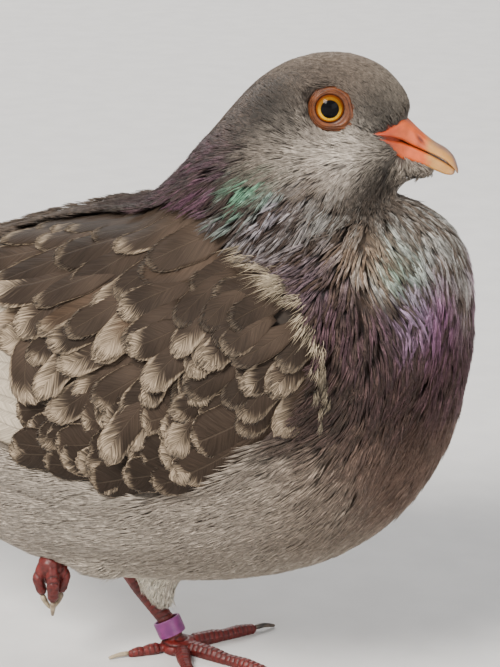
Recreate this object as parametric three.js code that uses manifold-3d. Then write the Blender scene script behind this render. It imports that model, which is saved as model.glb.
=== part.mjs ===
// A pigeon standing on one leg at life size, as a still model. Each main part of the body is a closed
// solid, drawn out to the tips of its plumage.
// Millimetres. +X is the way the body faces, +Y is its left side, +Z is up. The floor is z = 0, and the
// origin is on the floor under the sole of the standing foot.
import * as THREE from 'three';
import { mergeVertices } from 'three/addons/utils/BufferGeometryUtils.js';
import Module from 'manifold-3d';

const wasm = await Module();
wasm.setup();

// ---- driving dimensions ----
const GAP = 0.3; // clearance between neighbouring solids
const BODY_SIDES = 22; // facets round the trunk and neck
const FAR = 400; // size of the blocks that part the body

// The trunk's outline, plumage included, from the root of the tail to the breast.
const TRUNK = [
  { x: -126, top: 93, bottom: 81, side: 8 },
  { x: -102, top: 103, bottom: 65, side: 18 },
  { x: -76, top: 112, bottom: 45, side: 27 },
  { x: -50, top: 119, bottom: 29.5, side: 34 },
  { x: -25, top: 127, bottom: 24, side: 41.5 },
  { x: 0, top: 133, bottom: 24.5, side: 46 },
  { x: 25, top: 137, bottom: 28.5, side: 47 },
  { x: 45, top: 137.5, bottom: 35, side: 44.5 },
  { x: 59, top: 136, bottom: 44, side: 39 },
  { x: 69, top: 132.5, bottom: 55.5, side: 31.5 },
  { x: 76.5, top: 126, bottom: 70.5, side: 22 },
  { x: 80.5, top: 114, bottom: 89, side: 8.5 },
];

// The neck and head, from inside the trunk up to the crown: the back and front of each level section.
const NECK = [
  { z: 96, back: 4, front: 56, side: 28, turn: 0 },
  { z: 108, back: -11, front: 63, side: 38, turn: 0 },
  { z: 120, back: -13, front: 65, side: 37, turn: 0 },
  { z: 130, back: -7, front: 61.5, side: 32, turn: 3 },
  { z: 136, back: -0.5, front: 59.4, side: 27, turn: 6 },
  { z: 141.5, back: 4.5, front: 60.6, side: 22.5, turn: 9 },
  { z: 147, back: 9, front: 62.4, side: 18.5, turn: 12 },
  { z: 153, back: 14, front: 63.4, side: 15.5, turn: 12 },
  { z: 159, back: 19, front: 63.8, side: 14, turn: 12 },
  { z: 164.6, back: 24.5, front: 60.5, side: 12.6, turn: 12 },
  { z: 169, back: 31.5, front: 55.5, side: 9.6, turn: 12 },
  { z: 171.4, back: 39.5, front: 49, side: 4, turn: 12 },
];
const NECK_AXIS_X = 32; // the head turns about an upright line here
const HEAD_TURN = 12; // degrees, towards the bird's left
const FACE_TAPER = 0.24; // how much narrower the face is than the nape

// Where thin cuts part the body: a point on each cut and the way it faces.
const CUTS = {
  head: { at: [32, 0, 148], facing: [-0.18, 0, 1] },
  neck: { at: [32, 0, 127], facing: [-0.12, 0, 1] },
  breast: { at: [37, 0, 80], facing: [1, 0, 0.15] },
  rump: { at: [-72, 0, 80], facing: [-1, 0, 0.1] },
};

// The folded wing: a shell over the trunk between two angles from the spine, thickest at its middle.
const WING = [
  { x: 55, from: 66, to: 84, thick: 1.6 },
  { x: 50.5, from: 52, to: 93, thick: 4 },
  { x: 41, from: 42, to: 100, thick: 5.4 },
  { x: 28, from: 33, to: 106, thick: 6 },
  { x: 12, from: 23, to: 110, thick: 6.2 },
  { x: -8, from: 13, to: 112, thick: 6.2 },
  { x: -28, from: 9, to: 109, thick: 6 },
  { x: -50, from: 9, to: 103, thick: 5.6 },
  { x: -75, from: 10, to: 97, thick: 4.8 },
  { x: -98, from: 14, to: 91, thick: 3.4 },
  { x: -114, from: 30, to: 74, thick: 1.6 },
];
const WING_EDGE = 0.9; // thickness at the wing's rim
const WING_SPANS = 5; // facets across the wing
const WING_BED = 1; // how far the shell reaches into the trunk before it is cut back to it

// Eyes, lids and bill, in the head's own frame before it turns.
const EYE = { x: 42.4, out: 7.6, z: 159, radius: 5.4, toFront: 8 };
const LID = { inner: 4.15, outer: 6.4, thick: 2.2, out: 11.6, socket: 6.75, lip: 1.5, slope: 1 };
const SOCKET_REACH = 4; // how far past the lid the hollow for it goes
const EYE_ARC = 7; // facets from pole to pole of an eye
const EYE_SIDES = 14; // facets round an eye and its lid
const BILL_SIDES = 12; // facets round the bill
const UPPER_BILL = [
  { x: 60, z: 150.8, up: 5.2, down: 2.2, side: 3.3 },
  { x: 64, z: 148.6, up: 5.4, down: 0.9, side: 3.4 },
  { x: 67, z: 147.2, up: 4.6, down: 0.7, side: 2.9 },
  { x: 70, z: 146, up: 3.5, down: 0.7, side: 2.4 },
  { x: 73, z: 144.6, up: 3.2, down: 0.7, side: 2.2 },
  { x: 75.4, z: 142.9, up: 2.8, down: 0.9, side: 1.7 },
  { x: 76.6, z: 141.6, up: 1.2, down: 1, side: 0.8 },
];
const LOWER_BILL = [
  { x: 59, z: 148, up: 0.6, down: 4.4, side: 3.1 },
  { x: 63, z: 147, up: 0.4, down: 3.8, side: 2.9 },
  { x: 67, z: 145.4, up: 0.4, down: 3.2, side: 2.4 },
  { x: 70.5, z: 143.7, up: 0.4, down: 2.9, side: 2 },
  { x: 73, z: 142.3, up: 0.3, down: 2.3, side: 1.5 },
  { x: 74.3, z: 141.5, up: 0.2, down: 0.9, side: 0.8 },
];

// Tail and wing quills: each one a long blade, and for each set how its quills lie over one another.
const TAIL = {
  quills: 12,
  root: { x: -112, z: 83.5, halfWidth: 8 },
  length: 78,
  slope: 13, // degrees below level
  spread: 17, // degrees between the outer quills
  width: 19,
  thick: 2.2,
  shorter: 0.05, // share by which the outer quills are shorter
  arch: 2.6, // how much lower the outer quills lie
  roll: 0.25, // how far the outer quills turn outwards
};
const PRIMARIES = {
  quills: 5,
  root: [-62, 31, 84],
  tip: [-163, 12, 76],
  step: 11, // each tip lies this far before the last
  inwards: 0.62, // how far the shorter tips keep to the longest one's line
  fan: 0.35, // each quill lies this much further out
  sink: 0.5, // and this much lower
  facing: [-0.06, 0.62, 0.78],
  width: 17,
  thick: 2.2,
};
const BLADE = [
  { along: 0, wide: 0.55 },
  { along: 0.88, wide: 1 },
  { along: 1, wide: 0.3 },
];
const BLADE_THINNING = 0.45; // share of a quill's thickness that is gone at its tip

const FOOT = new THREE.Vector3(-1.3, 4.4, -1.6); // the standing sole's place under the body

// The standing leg, from its sole: left. The raised leg: right, its foot hanging at the belly.
const SOLE = { radius: 5.4, height: 2.6, centre: 1.4 };
const SHANK = [
  { at: [-19, 2, 27], r: 3.1 },
  { at: [-11.5, 1, 16.5], r: 2.3 },
  { at: [-4.2, 0.3, 9], r: 2.2 },
  { at: [-1.4, 0, 4], r: 2.4 },
];
const THIGH = [
  { at: [2, 6, 44], r: 15 },
  { at: [-4, 4, 32], r: 12 },
  { at: [-7, 2, 22], r: 7 },
  { at: [-5.8, 1, 16], r: 3.9 },
  { at: [-5, 0.4, 14.2], r: 3 },
];
const RING = { at: [-2.9, 0.15, 6.7], axis: [-0.44, 0.05, 0.9], inner: 3.2, outer: 4, height: 4.8 };
const TOES = {
  inner: { heading: -61, start: 5.4, length: 20.5, claw: 5.2, root: 2 },
  middle: { heading: -16, start: 5, length: 29.5, claw: 6, root: 2.1 },
  outer: { heading: 50, start: 5, length: 24, claw: 5.4, root: 2.1 },
  hallux: { heading: -141, start: 6.8, length: 14, claw: 4.8, root: 1.7 },
};
const PAD_FLAT = 0.82; // how far a pad's middle is above the floor, in radii, so that it stands on a flat
const PADS = [
  { along: 0.3, swell: 1.02 },
  { along: 0.5, swell: 0.86 },
  { along: 0.75, swell: 1.02 },
  { along: 1, swell: 0.86 },
];
const TOE_THINNING = 0.24; // share of a toe's width that is gone at its end
const CLAW = { root: 0.55, middle: 0.42, tip: 0.32, level: 1.05, tipLevel: 0.62 };
const TOE_SIDES = 7;
const CLAW_SIDES = 5;
const THIGH_SIDES = 14;
const RAISED_THIGH = [
  { at: [-8, -16, 44], r: 13 },
  { at: [-15, -18, 37], r: 10.5 },
  { at: [-23, -18, 35], r: 6 },
];
const RAISED_SOLE = { at: [-30, -18.5, 29], radius: 3.6 };
const RAISED_CLAW = { root: 0.45, middle: 0.32, tip: 0.3, hook: 2.4 };
const RAISED_TOES = {
  inner: { across: [0.75, 0.42], length: 7, claw: 4, curl: 2.2, root: 1.8 },
  middle: { across: [0.42, -0.72], length: 8.5, claw: 4.4, curl: 2.6, root: 1.9 },
  outer: { across: [-0.66, -0.6], length: 7, claw: 4, curl: 2.2, root: 1.8 },
  hallux: { across: [-0.6, 0.72], length: 5.5, claw: 3.6, curl: 1.6, root: 1.7 },
};

const ROUNDED_END = { reach: 0.72, wide: 0.66 }; // of a limb, in radii

const FINISH = {
  head: { color: 0x78736c, roughness: 0.85 },
  neck: { color: 0x6b6460, roughness: 0.7 },
  breast: { color: 0x74655c, roughness: 0.75 },
  belly: { color: 0xb4aca2, roughness: 0.9 },
  wing: { color: 0x5e5349, roughness: 0.75 },
  quill: { color: 0xcfc7bb, roughness: 0.7 },
  tail: { color: 0x8f8780, roughness: 0.75 },
  skin: { color: 0xa0402f, roughness: 0.55 },
  lid: { color: 0xbd6f4e, roughness: 0.6 },
  eye: { color: 0xd08a2c, roughness: 0.1 },
  bill: { color: 0xdba584, roughness: 0.45 },
  claw: { color: 0x4a403a, roughness: 0.4 },
  band: { color: 0xb56aae, roughness: 0.35 },
};

// ---- solids ----

/** A manifold solid from any closed geometry. */
function solidOf(geometry) {
  const bare = geometry.clone();
  bare.deleteAttribute('normal');
  bare.deleteAttribute('uv');
  const merged = mergeVertices(bare, 1e-5);
  const mesh = new wasm.Mesh({
    numProp: 3,
    vertProperties: new Float32Array(merged.attributes.position.array),
    triVerts: new Uint32Array(merged.index.array),
  });
  mesh.merge();
  return new wasm.Manifold(mesh);
}

/** The geometry of a solid's largest body. */
function geometryOf(solid) {
  const bodies = solid.decompose().sort((a, b) => b.volume() - a.volume());
  const mesh = bodies[0].getMesh();
  const geometry = new THREE.BufferGeometry();
  geometry.setAttribute('position', new THREE.BufferAttribute(new Float32Array(mesh.vertProperties), 3));
  geometry.setIndex(new THREE.BufferAttribute(new Uint32Array(mesh.triVerts), 1));
  geometry.computeVertexNormals();
  return geometry;
}

/** Six times the volume that an indexed geometry encloses: below zero when its faces point in. */
function signedVolume(points, index) {
  let sum = 0;
  for (let i = 0; i < index.length; i += 3) {
    const [a, b, c] = [points[index[i]], points[index[i + 1]], points[index[i + 2]]];
    sum += a.dot(new THREE.Vector3().crossVectors(b, c));
  }
  return sum;
}

/** A solid from points and triangles, turned so that its faces point out. */
function solidFrom(points, index) {
  if (signedVolume(points, index) < 0) {
    index.reverse();
  }
  const geometry = new THREE.BufferGeometry().setFromPoints(points);
  geometry.setIndex(index);
  return solidOf(geometry);
}

/** The triangles between neighbouring rings of `count` points each. */
function skinBetween(rows, count) {
  const index = [];
  for (let row = 0; row < rows - 1; row += 1) {
    for (let i = 0; i < count; i += 1) {
      const here = row * count + i;
      const next = row * count + ((i + 1) % count);
      index.push(here, next, next + count, here, next + count, here + count);
    }
  }
  return index;
}

/** A closed solid through rings of equal length, each end closed by a fan from its middle. */
function loft(rings) {
  const count = rings[0].length;
  const points = rings.flat();
  const index = skinBetween(rings.length, count);
  [0, rings.length - 1].forEach((row) => {
    const middle = new THREE.Vector3();
    rings[row].forEach((point) => middle.addScaledVector(point, 1 / count));
    const hub = points.push(middle) - 1;
    for (let i = 0; i < count; i += 1) {
      const here = row * count + i;
      const next = row * count + ((i + 1) % count);
      index.push(...(row === 0 ? [here, hub, next] : [here, next, hub]));
    }
  });
  return solidFrom(points, index);
}

/** One value of a smooth curve through a, b, c and d, from b at t = 0 to c at t = 1. */
function smooth(a, b, c, d, t) {
  const linear = (c - a) * t;
  const square = (2 * a - 5 * b + 4 * c - d) * t * t;
  const cube = (3 * b - a - 3 * c + d) * t * t * t;
  return 0.5 * (2 * b + linear + square + cube);
}

/** Stations with all their numbers smoothly filled in, `steps` places to a span. */
function between(stations, steps) {
  const filled = [];
  const last = stations.length - 1;
  const place = (k) => stations[Math.min(Math.max(k, 0), last)];
  for (let k = 0; k < last; k += 1) {
    for (let step = 0; step < steps; step += 1) {
      const row = {};
      Object.keys(stations[k]).forEach((name) => {
        const values = [-1, 0, 1, 2].map((offset) => place(k + offset)[name]);
        row[name] = smooth(...values, step / steps);
      });
      filled.push(row);
    }
  }
  filled.push({ ...stations[last] });
  return filled;
}

/** A point on the trunk's section at a station, `angle` degrees from the spine towards the given side. */
function onTrunk(station, angle, grow = 0) {
  const turn = THREE.MathUtils.degToRad(angle);
  const middle = (station.top + station.bottom) / 2;
  const half = (station.top - station.bottom) / 2 + grow;
  const side = station.side + grow;
  return new THREE.Vector3(station.x, side * Math.sin(turn), middle + half * Math.cos(turn));
}

/** The trunk, or a slightly larger one to cut its neighbours back with. */
function makeTrunk(grow = 0) {
  const stations = between(TRUNK, 2);
  stations[0].x -= grow;
  stations[stations.length - 1].x += grow;
  const rings = stations.map((station) => {
    const angles = Array.from({ length: BODY_SIDES }, (_, i) => (i * 360) / BODY_SIDES);
    return angles.map((angle) => onTrunk(station, angle, grow));
  });
  return loft(rings);
}

/** A head-frame point carried round the neck's axis by a turn in degrees. */
function turned(x, y, z, degrees) {
  const turn = THREE.MathUtils.degToRad(degrees);
  const out = x - NECK_AXIS_X;
  return new THREE.Vector3(
    NECK_AXIS_X + out * Math.cos(turn) - y * Math.sin(turn),
    out * Math.sin(turn) + y * Math.cos(turn),
    z,
  );
}

/** The neck and head as one form, or a slightly larger one. */
function makeNeck(grow = 0) {
  const stations = between(NECK, 2);
  const rings = stations.map((station, row) => {
    const middle = (station.back + station.front) / 2;
    const half = (station.front - station.back) / 2 + grow;
    const level = station.z + (row === stations.length - 1 ? grow : 0);
    return Array.from({ length: BODY_SIDES }, (_, i) => {
      const turn = (i * 2 * Math.PI) / BODY_SIDES;
      const narrow = 1 - FACE_TAPER * Math.cos(turn);
      const side = (station.side + grow) * narrow * Math.sin(turn);
      return turned(middle + half * Math.cos(turn), side, level, station.turn);
    });
  });
  return loft(rings);
}

/** A very large block whose near face passes through a point and faces back along `facing`. */
function beyond(at, facing, offset) {
  const direction = new THREE.Vector3(...facing).normalize();
  const block = new THREE.BoxGeometry(FAR, FAR, FAR);
  block.translate(0, 0, FAR / 2 + offset);
  const quaternion = new THREE.Quaternion().setFromUnitVectors(new THREE.Vector3(0, 0, 1), direction);
  block.applyQuaternion(quaternion);
  block.translate(...at);
  return solidOf(block);
}

/** Splits a solid at a thin cut: the piece on the side that the cut faces, and the rest. */
function part(solid, cut) {
  const piece = solid.intersect(beyond(cut.at, cut.facing, GAP / 2));
  const rest = solid.subtract(beyond(cut.at, cut.facing, -GAP / 2));
  return [piece, rest];
}

/** A folded wing's shell on one side, 1 for left and -1 for right, or a slightly larger one. */
function makeWing(side, grow = 0) {
  const trunk = between(TRUNK, 8);
  const stations = between(WING, 2);
  const rings = stations.map((station) => {
    const gap = (other) => Math.abs(other.x - station.x);
    const under = trunk.reduce((best, other) => (gap(other) < gap(best) ? other : best));
    const outer = [];
    const inner = [];
    for (let i = 0; i <= WING_SPANS; i += 1) {
      const across = i / WING_SPANS;
      const angle = side * (station.from - grow + (station.to - station.from + 2 * grow) * across);
      const bulge = Math.sqrt(Math.max(Math.sin(Math.PI * across), 0)); // 0 at the rims, 1 between
      const thick = WING_EDGE + (station.thick - WING_EDGE) * bulge;
      const place = { ...under, x: station.x };
      outer.push(onTrunk(place, angle, GAP + thick + grow));
      inner.push(onTrunk(place, angle, -WING_BED));
    }
    return outer.concat(inner.reverse());
  });
  return stripLoft(rings);
}

/** A closed solid through strip-like rings: half of each ring runs over it, the rest back under. */
function stripLoft(rings) {
  const count = rings[0].length;
  const index = skinBetween(rings.length, count);
  [0, rings.length - 1].forEach((row) => {
    for (let i = 0; i < count / 2 - 1; i += 1) {
      const over = row * count + i;
      const under = row * count + count - 1 - i;
      const faces = [over, under, over + 1, under, under - 1, over + 1];
      index.push(...(row === 0 ? faces : faces.reverse()));
    }
  });
  return solidFrom(rings.flat(), index);
}

/** A limb through rounds of given radius, with rounded ends; `grow` makes it larger all round. */
function limb(rounds, grow = 0, sides = 10, steps = 2) {
  const flat = rounds.map(({ at, r }) => ({ x: at[0], y: at[1], z: at[2], r }));
  const path = between(flat, steps);
  const spots = path.map((spot) => new THREE.Vector3(spot.x, spot.y, spot.z));
  const along = spots.map((spot, k) => {
    const next = spots[Math.min(k + 1, spots.length - 1)];
    const previous = spots[Math.max(k - 1, 0)];
    return next.clone().sub(previous).normalize();
  });
  const rings = [];
  const addRing = (spot, direction, radius) => {
    const sideways = new THREE.Vector3(direction.z, 0.001, -direction.x).normalize();
    const upward = new THREE.Vector3().crossVectors(direction, sideways);
    rings.push(Array.from({ length: sides }, (_, i) => {
      const turn = (i * 2 * Math.PI) / sides;
      const out = sideways.clone().multiplyScalar(Math.cos(turn)).addScaledVector(upward, Math.sin(turn));
      return spot.clone().addScaledVector(out, radius);
    }));
  };
  const addEnd = (k, way) => {
    const radius = path[k].r + grow;
    const spot = spots[k].clone().addScaledVector(along[k], way * ROUNDED_END.reach * radius);
    addRing(spot, along[k], ROUNDED_END.wide * radius);
  };
  addEnd(0, -1);
  spots.forEach((spot, k) => addRing(spot, along[k], path[k].r + grow));
  addEnd(spots.length - 1, 1);
  return loft(rings);
}

/** A flattened ball. */
function ball(at, radii, sides = 12) {
  const geometry = new THREE.SphereGeometry(1, sides, Math.round(sides * 0.6));
  geometry.scale(...radii);
  geometry.translate(...at);
  return solidOf(geometry);
}

/** A quill and its vane: a long blade, rounded at its end, with `flat` as the way its face looks. */
function blade(root, tip, width, thick, flat) {
  const start = new THREE.Vector3(...root);
  const run = new THREE.Vector3(...tip).sub(start);
  const direction = run.clone().normalize();
  const sideways = new THREE.Vector3().crossVectors(direction, new THREE.Vector3(...flat)).normalize();
  const upward = new THREE.Vector3().crossVectors(sideways, direction);
  const rings = BLADE.map(({ along, wide }) => Array.from({ length: 4 }, (_, i) => {
    const turn = (i * Math.PI) / 2;
    const spot = start.clone().addScaledVector(run, along);
    spot.addScaledVector(sideways, (Math.cos(turn) * wide * width) / 2);
    return spot.addScaledVector(upward, (Math.sin(turn) * thick * (1 - BLADE_THINNING * along)) / 2);
  }));
  return loft(rings);
}

/** The pad under the standing foot, or a slightly larger one. */
function makeSole(grow = 0) {
  const wide = SOLE.radius + grow;
  return ball([FOOT.x, FOOT.y, FOOT.z + SOLE.centre], [wide, wide, SOLE.height + grow]);
}

/** Solids joined into one. */
function joined(solids) {
  return solids.reduce((whole, solid) => whole.add(solid));
}

/** The bill's upper or lower half, from its stations. */
function makeBill(stations) {
  const rings = stations.map((station) => Array.from({ length: BILL_SIDES }, (_, i) => {
    const turn = (i * 2 * Math.PI) / BILL_SIDES;
    const rise = Math.sin(turn) > 0 ? station.up : station.down;
    return turned(station.x, station.side * Math.cos(turn), station.z + rise * Math.sin(turn), HEAD_TURN);
  }));
  return loft(rings);
}

/** A ring or disc turned about the outward axis of an eye, from its outline of radius and height. */
function onEye(side, outline) {
  const lathe = new THREE.LatheGeometry(outline.map(([r, h]) => new THREE.Vector2(r, h)), EYE_SIDES);
  lathe.rotateX(side > 0 ? 0 : Math.PI);
  lathe.rotateZ(THREE.MathUtils.degToRad(-side * EYE.toFront));
  lathe.translate(EYE.x - NECK_AXIS_X, 0, EYE.z);
  lathe.rotateZ(THREE.MathUtils.degToRad(HEAD_TURN));
  lathe.translate(NECK_AXIS_X, 0, 0);
  return solidOf(lathe);
}

/** The eyeball, its lid and the hollow that both sit in. */
function makeEye(side) {
  const arc = (radius, middle) => Array.from({ length: EYE_ARC + 1 }, (_, i) => {
    const turn = (-Math.PI / 2) + (i * Math.PI) / EYE_ARC;
    const r = i % EYE_ARC === 0 ? 0 : radius * Math.cos(turn);
    return [r, middle + radius * Math.sin(turn)];
  });
  const eyeball = onEye(side, arc(EYE.radius, EYE.out));
  const spared = onEye(side, arc(EYE.radius + GAP, EYE.out));
  const low = LID.out - LID.thick / 2;
  const high = LID.out + LID.thick / 2;
  const lip = [LID.inner - LID.lip, low];
  const ring = onEye(side, [lip, [LID.outer, low], [LID.outer, high - LID.slope], [LID.inner, high], lip]);
  const bottom = low - GAP;
  const mouth = high + SOCKET_REACH;
  const hollow = onEye(side, [[0, bottom], [LID.socket, bottom], [LID.socket, mouth], [0, mouth]]);
  return { eyeball, lid: ring.subtract(spared), hollow: hollow.add(spared) };
}

/** The twelve tail quills, fanned a little and lying over one another. */
function makeTail() {
  const quills = Array.from({ length: TAIL.quills }, (_, i) => {
    const place = (i / (TAIL.quills - 1)) * 2 - 1;
    const turn = THREE.MathUtils.degToRad(place * TAIL.spread * 0.5);
    const drop = THREE.MathUtils.degToRad(TAIL.slope);
    const reach = TAIL.length * (1 - TAIL.shorter * place * place);
    const level = TAIL.root.z - Math.abs(place) * TAIL.arch;
    const root = [TAIL.root.x, place * TAIL.root.halfWidth, level];
    const tip = [
      root[0] - reach * Math.cos(turn) * Math.cos(drop),
      root[1] + reach * Math.sin(turn),
      level - reach * Math.sin(drop),
    ];
    const flat = [-Math.sin(drop), place * TAIL.roll, Math.cos(drop)];
    return blade(root, tip, TAIL.width, TAIL.thick, flat);
  });
  return joined(quills);
}

/** The primaries of one folded wing, stepped back one behind another. */
function makePrimaries(side) {
  const { root, tip, step, facing, width, thick, quills } = PRIMARIES;
  const blades = Array.from({ length: quills }, (_, i) => {
    const back = i * step;
    const share = back / (root[0] - tip[0]);
    const start = [root[0], side * root[1], root[2]];
    const end = [
      tip[0] + back,
      side * (tip[1] + (root[1] - tip[1]) * share * PRIMARIES.inwards + i * PRIMARIES.fan),
      tip[2] + (root[2] - tip[2]) * share - i * PRIMARIES.sink,
    ];
    return blade(start, end, width, thick, [facing[0], side * facing[1], facing[2]]);
  });
  return joined(blades);
}

/** The rounds of a limb given from the standing sole, in the body's frame. */
function fromFoot(rounds) {
  return rounds.map(({ at, r }) => ({ at: [at[0] + FOOT.x, at[1] + FOOT.y, at[2] + FOOT.z], r }));
}

/** One toe of the standing foot, resting on its flat pads, and its claw. */
function makeToe({ heading, start, length, claw, root }) {
  const turn = THREE.MathUtils.degToRad(heading);
  const spot = (reach, z, r) => ({
    at: [FOOT.x + reach * Math.cos(turn), FOOT.y + reach * Math.sin(turn), FOOT.z + z],
    r,
  });
  const rounds = [spot(start, root * PAD_FLAT, root)];
  PADS.forEach(({ along, swell }) => {
    const r = root * (1 - TOE_THINNING * along) * swell;
    rounds.push(spot(start + (length - start) * along, r * PAD_FLAT, r));
  });
  const tip = rounds.at(-1).r;
  const nailStart = length + ROUNDED_END.reach * tip * (1 + CLAW.root) + GAP;
  const nail = [
    spot(nailStart, tip * CLAW.level, tip * CLAW.root),
    spot(nailStart + claw / 2, tip * CLAW.level, tip * CLAW.middle),
    spot(nailStart + claw, CLAW.tipLevel, CLAW.tip),
  ];
  return { toe: limb(rounds, 0, TOE_SIDES, 1), claw: limb(nail, 0, CLAW_SIDES, 1) };
}

/** One toe of the raised foot, hanging and curled, and its claw. */
function makeRaisedToe({ across, length, claw, curl, root }) {
  const { at, radius } = RAISED_SOLE;
  const spot = (down, bend, r) => ({
    at: [
      at[0] + across[0] * (radius * 0.9 + bend),
      at[1] + across[1] * (radius * 0.9 + bend),
      at[2] - down,
    ],
    r,
  });
  const tip = root * (1 - TOE_THINNING);
  const rounds = [spot(0.4, -0.6, root), spot(length / 2, curl / 2, (root + tip) / 2), spot(length, 0, tip)];
  const start = length + tip;
  const { hook } = RAISED_CLAW;
  const nail = [
    spot(start + GAP + 0.5, -hook / 6, root * RAISED_CLAW.root),
    spot(start + claw * 0.6, -hook / 2, root * RAISED_CLAW.middle),
    spot(start + claw, -hook, RAISED_CLAW.tip),
  ];
  return { toe: limb(rounds, 0, TOE_SIDES, 1), claw: limb(nail, 0, CLAW_SIDES, 1) };
}

/** A form turned about the leg ring's axis, from its outline of radius and height. */
function onRing(outline) {
  const band = new THREE.LatheGeometry(outline.map(([r, h]) => new THREE.Vector2(r, h)), 20);
  const axis = new THREE.Vector3(...RING.axis).normalize();
  band.applyQuaternion(new THREE.Quaternion().setFromUnitVectors(new THREE.Vector3(0, 1, 0), axis));
  band.translate(...RING.at);
  band.translate(...FOOT);
  return solidOf(band);
}

/** A plain band round the shank, with softened rims. */
function makeRing() {
  const { inner, outer, height } = RING;
  const half = height / 2;
  const edge = 0.25; // softening of the rims
  return onRing([
    [inner, -half], [outer - edge, -half], [outer, -half + edge], [outer, half - edge],
    [outer - edge, half], [inner, half], [inner, -half],
  ]);
}

/** The room that the band takes up, shank and all. */
function spareRing() {
  const wide = RING.outer + GAP;
  const half = RING.height / 2 + GAP;
  return onRing([[0, -half], [wide, -half], [wide, half], [0, half]]);
}

// ---- the bird ----
const bird = new THREE.Group();

/** Adds a solid to the bird as a named mesh of its own. */
function add(name, solid, finish) {
  const material = new THREE.MeshStandardMaterial({ ...FINISH[finish], metalness: 0, flatShading: true });
  const mesh = new THREE.Mesh(geometryOf(solid), material);
  mesh.name = name;
  bird.add(mesh);
}

const SIDES = { left: 1, right: -1 };
const floor = beyond(FOOT.toArray(), [0, 0, -1], 0);

const wholeTrunk = makeTrunk();
const wholeNeck = makeNeck();
const sparedTrunk = makeTrunk(GAP).add(makeNeck(GAP));

// The legs, each cut back to the trunk.
const shank = limb(fromFoot(SHANK)).subtract(sparedTrunk);
const sparedRing = spareRing();
const sole = makeSole().subtract(sparedRing).subtract(floor);
const sparedSole = makeSole(GAP);
const sparedShank = limb(fromFoot(SHANK), GAP);
const standingThigh = limb(fromFoot(THIGH), 0, THIGH_SIDES).subtract(sparedTrunk).subtract(sparedShank);
add('thigh_left', standingThigh, 'belly');
add('shank_left', shank.subtract(sparedSole), 'skin');
add('sole_left', sole, 'skin');
const joint = (toe) => toe.subtract(sparedSole).subtract(sparedShank).subtract(sparedRing).subtract(floor);
Object.entries(TOES).forEach(([name, sizes]) => {
  const { toe, claw } = makeToe(sizes);
  add(`toe_${name}_left`, joint(toe), 'skin');
  add(`claw_${name}_left`, claw.subtract(floor), 'claw');
});
add('leg_ring', makeRing(), 'band');

const raisedBall = (radius) => ball(RAISED_SOLE.at, [radius, radius, radius]);
const raisedSole = raisedBall(RAISED_SOLE.radius);
const sparedRaisedSole = raisedBall(RAISED_SOLE.radius + GAP);
const raisedThigh = limb(RAISED_THIGH, 0, THIGH_SIDES);
add('thigh_right', raisedThigh.subtract(sparedTrunk).subtract(sparedRaisedSole), 'belly');
add('sole_right', raisedSole.subtract(sparedTrunk), 'skin');
Object.entries(RAISED_TOES).forEach(([name, sizes]) => {
  const { toe, claw } = makeRaisedToe(sizes);
  add(`toe_${name}_right`, toe.subtract(sparedRaisedSole).subtract(sparedTrunk), 'skin');
  add(`claw_${name}_right`, claw, 'claw');
});

// The body, parted by thin cuts.
let body = wholeTrunk.add(wholeNeck);
const eyes = { left: makeEye(SIDES.left), right: makeEye(SIDES.right) };
const bills = { upper: makeBill(UPPER_BILL), lower: makeBill(LOWER_BILL) };
let head;
let neck;
let breast;
let rump;
[head, body] = part(body, CUTS.head);
[neck, body] = part(body, CUTS.neck);
[breast, body] = part(body, CUTS.breast);
[rump, body] = part(body, CUTS.rump);
const sparedHead = makeNeck(GAP);
head = head.subtract(eyes.left.hollow).subtract(eyes.right.hollow);
add('head', head, 'head');
add('neck', neck, 'neck');
add('breast', breast, 'breast');
add('trunk', body, 'belly');
add('rump', rump, 'quill');
Object.entries(eyes).forEach(([name, { eyeball, lid }]) => {
  add(`eye_${name}`, eyeball, 'eye');
  add(`eyelid_${name}`, lid, 'lid');
});
Object.entries(bills).forEach(([name, half]) => add(`bill_${name}`, half.subtract(sparedHead), 'bill'));

// Wings and tail, cut back to the body.
add('tail', makeTail().subtract(sparedTrunk), 'tail');
Object.entries(SIDES).forEach(([name, side]) => {
  add(`wing_${name}`, makeWing(side).subtract(sparedTrunk), 'wing');
  const primaries = makePrimaries(side).subtract(sparedTrunk).subtract(makeWing(side, GAP));
  add(`primaries_${name}`, primaries, 'quill');
});

// The origin goes from under the body's middle to under the standing sole.
bird.position.copy(FOOT).negate();

export default bird;
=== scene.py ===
"""A standing domestic pigeon at life size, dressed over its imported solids.

The body is one skin under a coat of small solid strands, each group of strands a body feather. The folded
wings, their quills and the tail are solid vanes. Eyes, lids, bill, feet, claws and leg ring are pieces of
their own. Sizes are in millimetres and turned into metres where a mesh is made.
"""

import heapq
import logging
import math
from dataclasses import dataclass, field, fields
from enum import Enum
from typing import Iterable, Optional, Sequence

import bmesh
import bpy
import numpy as np
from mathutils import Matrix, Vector, noise
from mathutils.bvhtree import BVHTree
from mathutils.kdtree import KDTree


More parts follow.
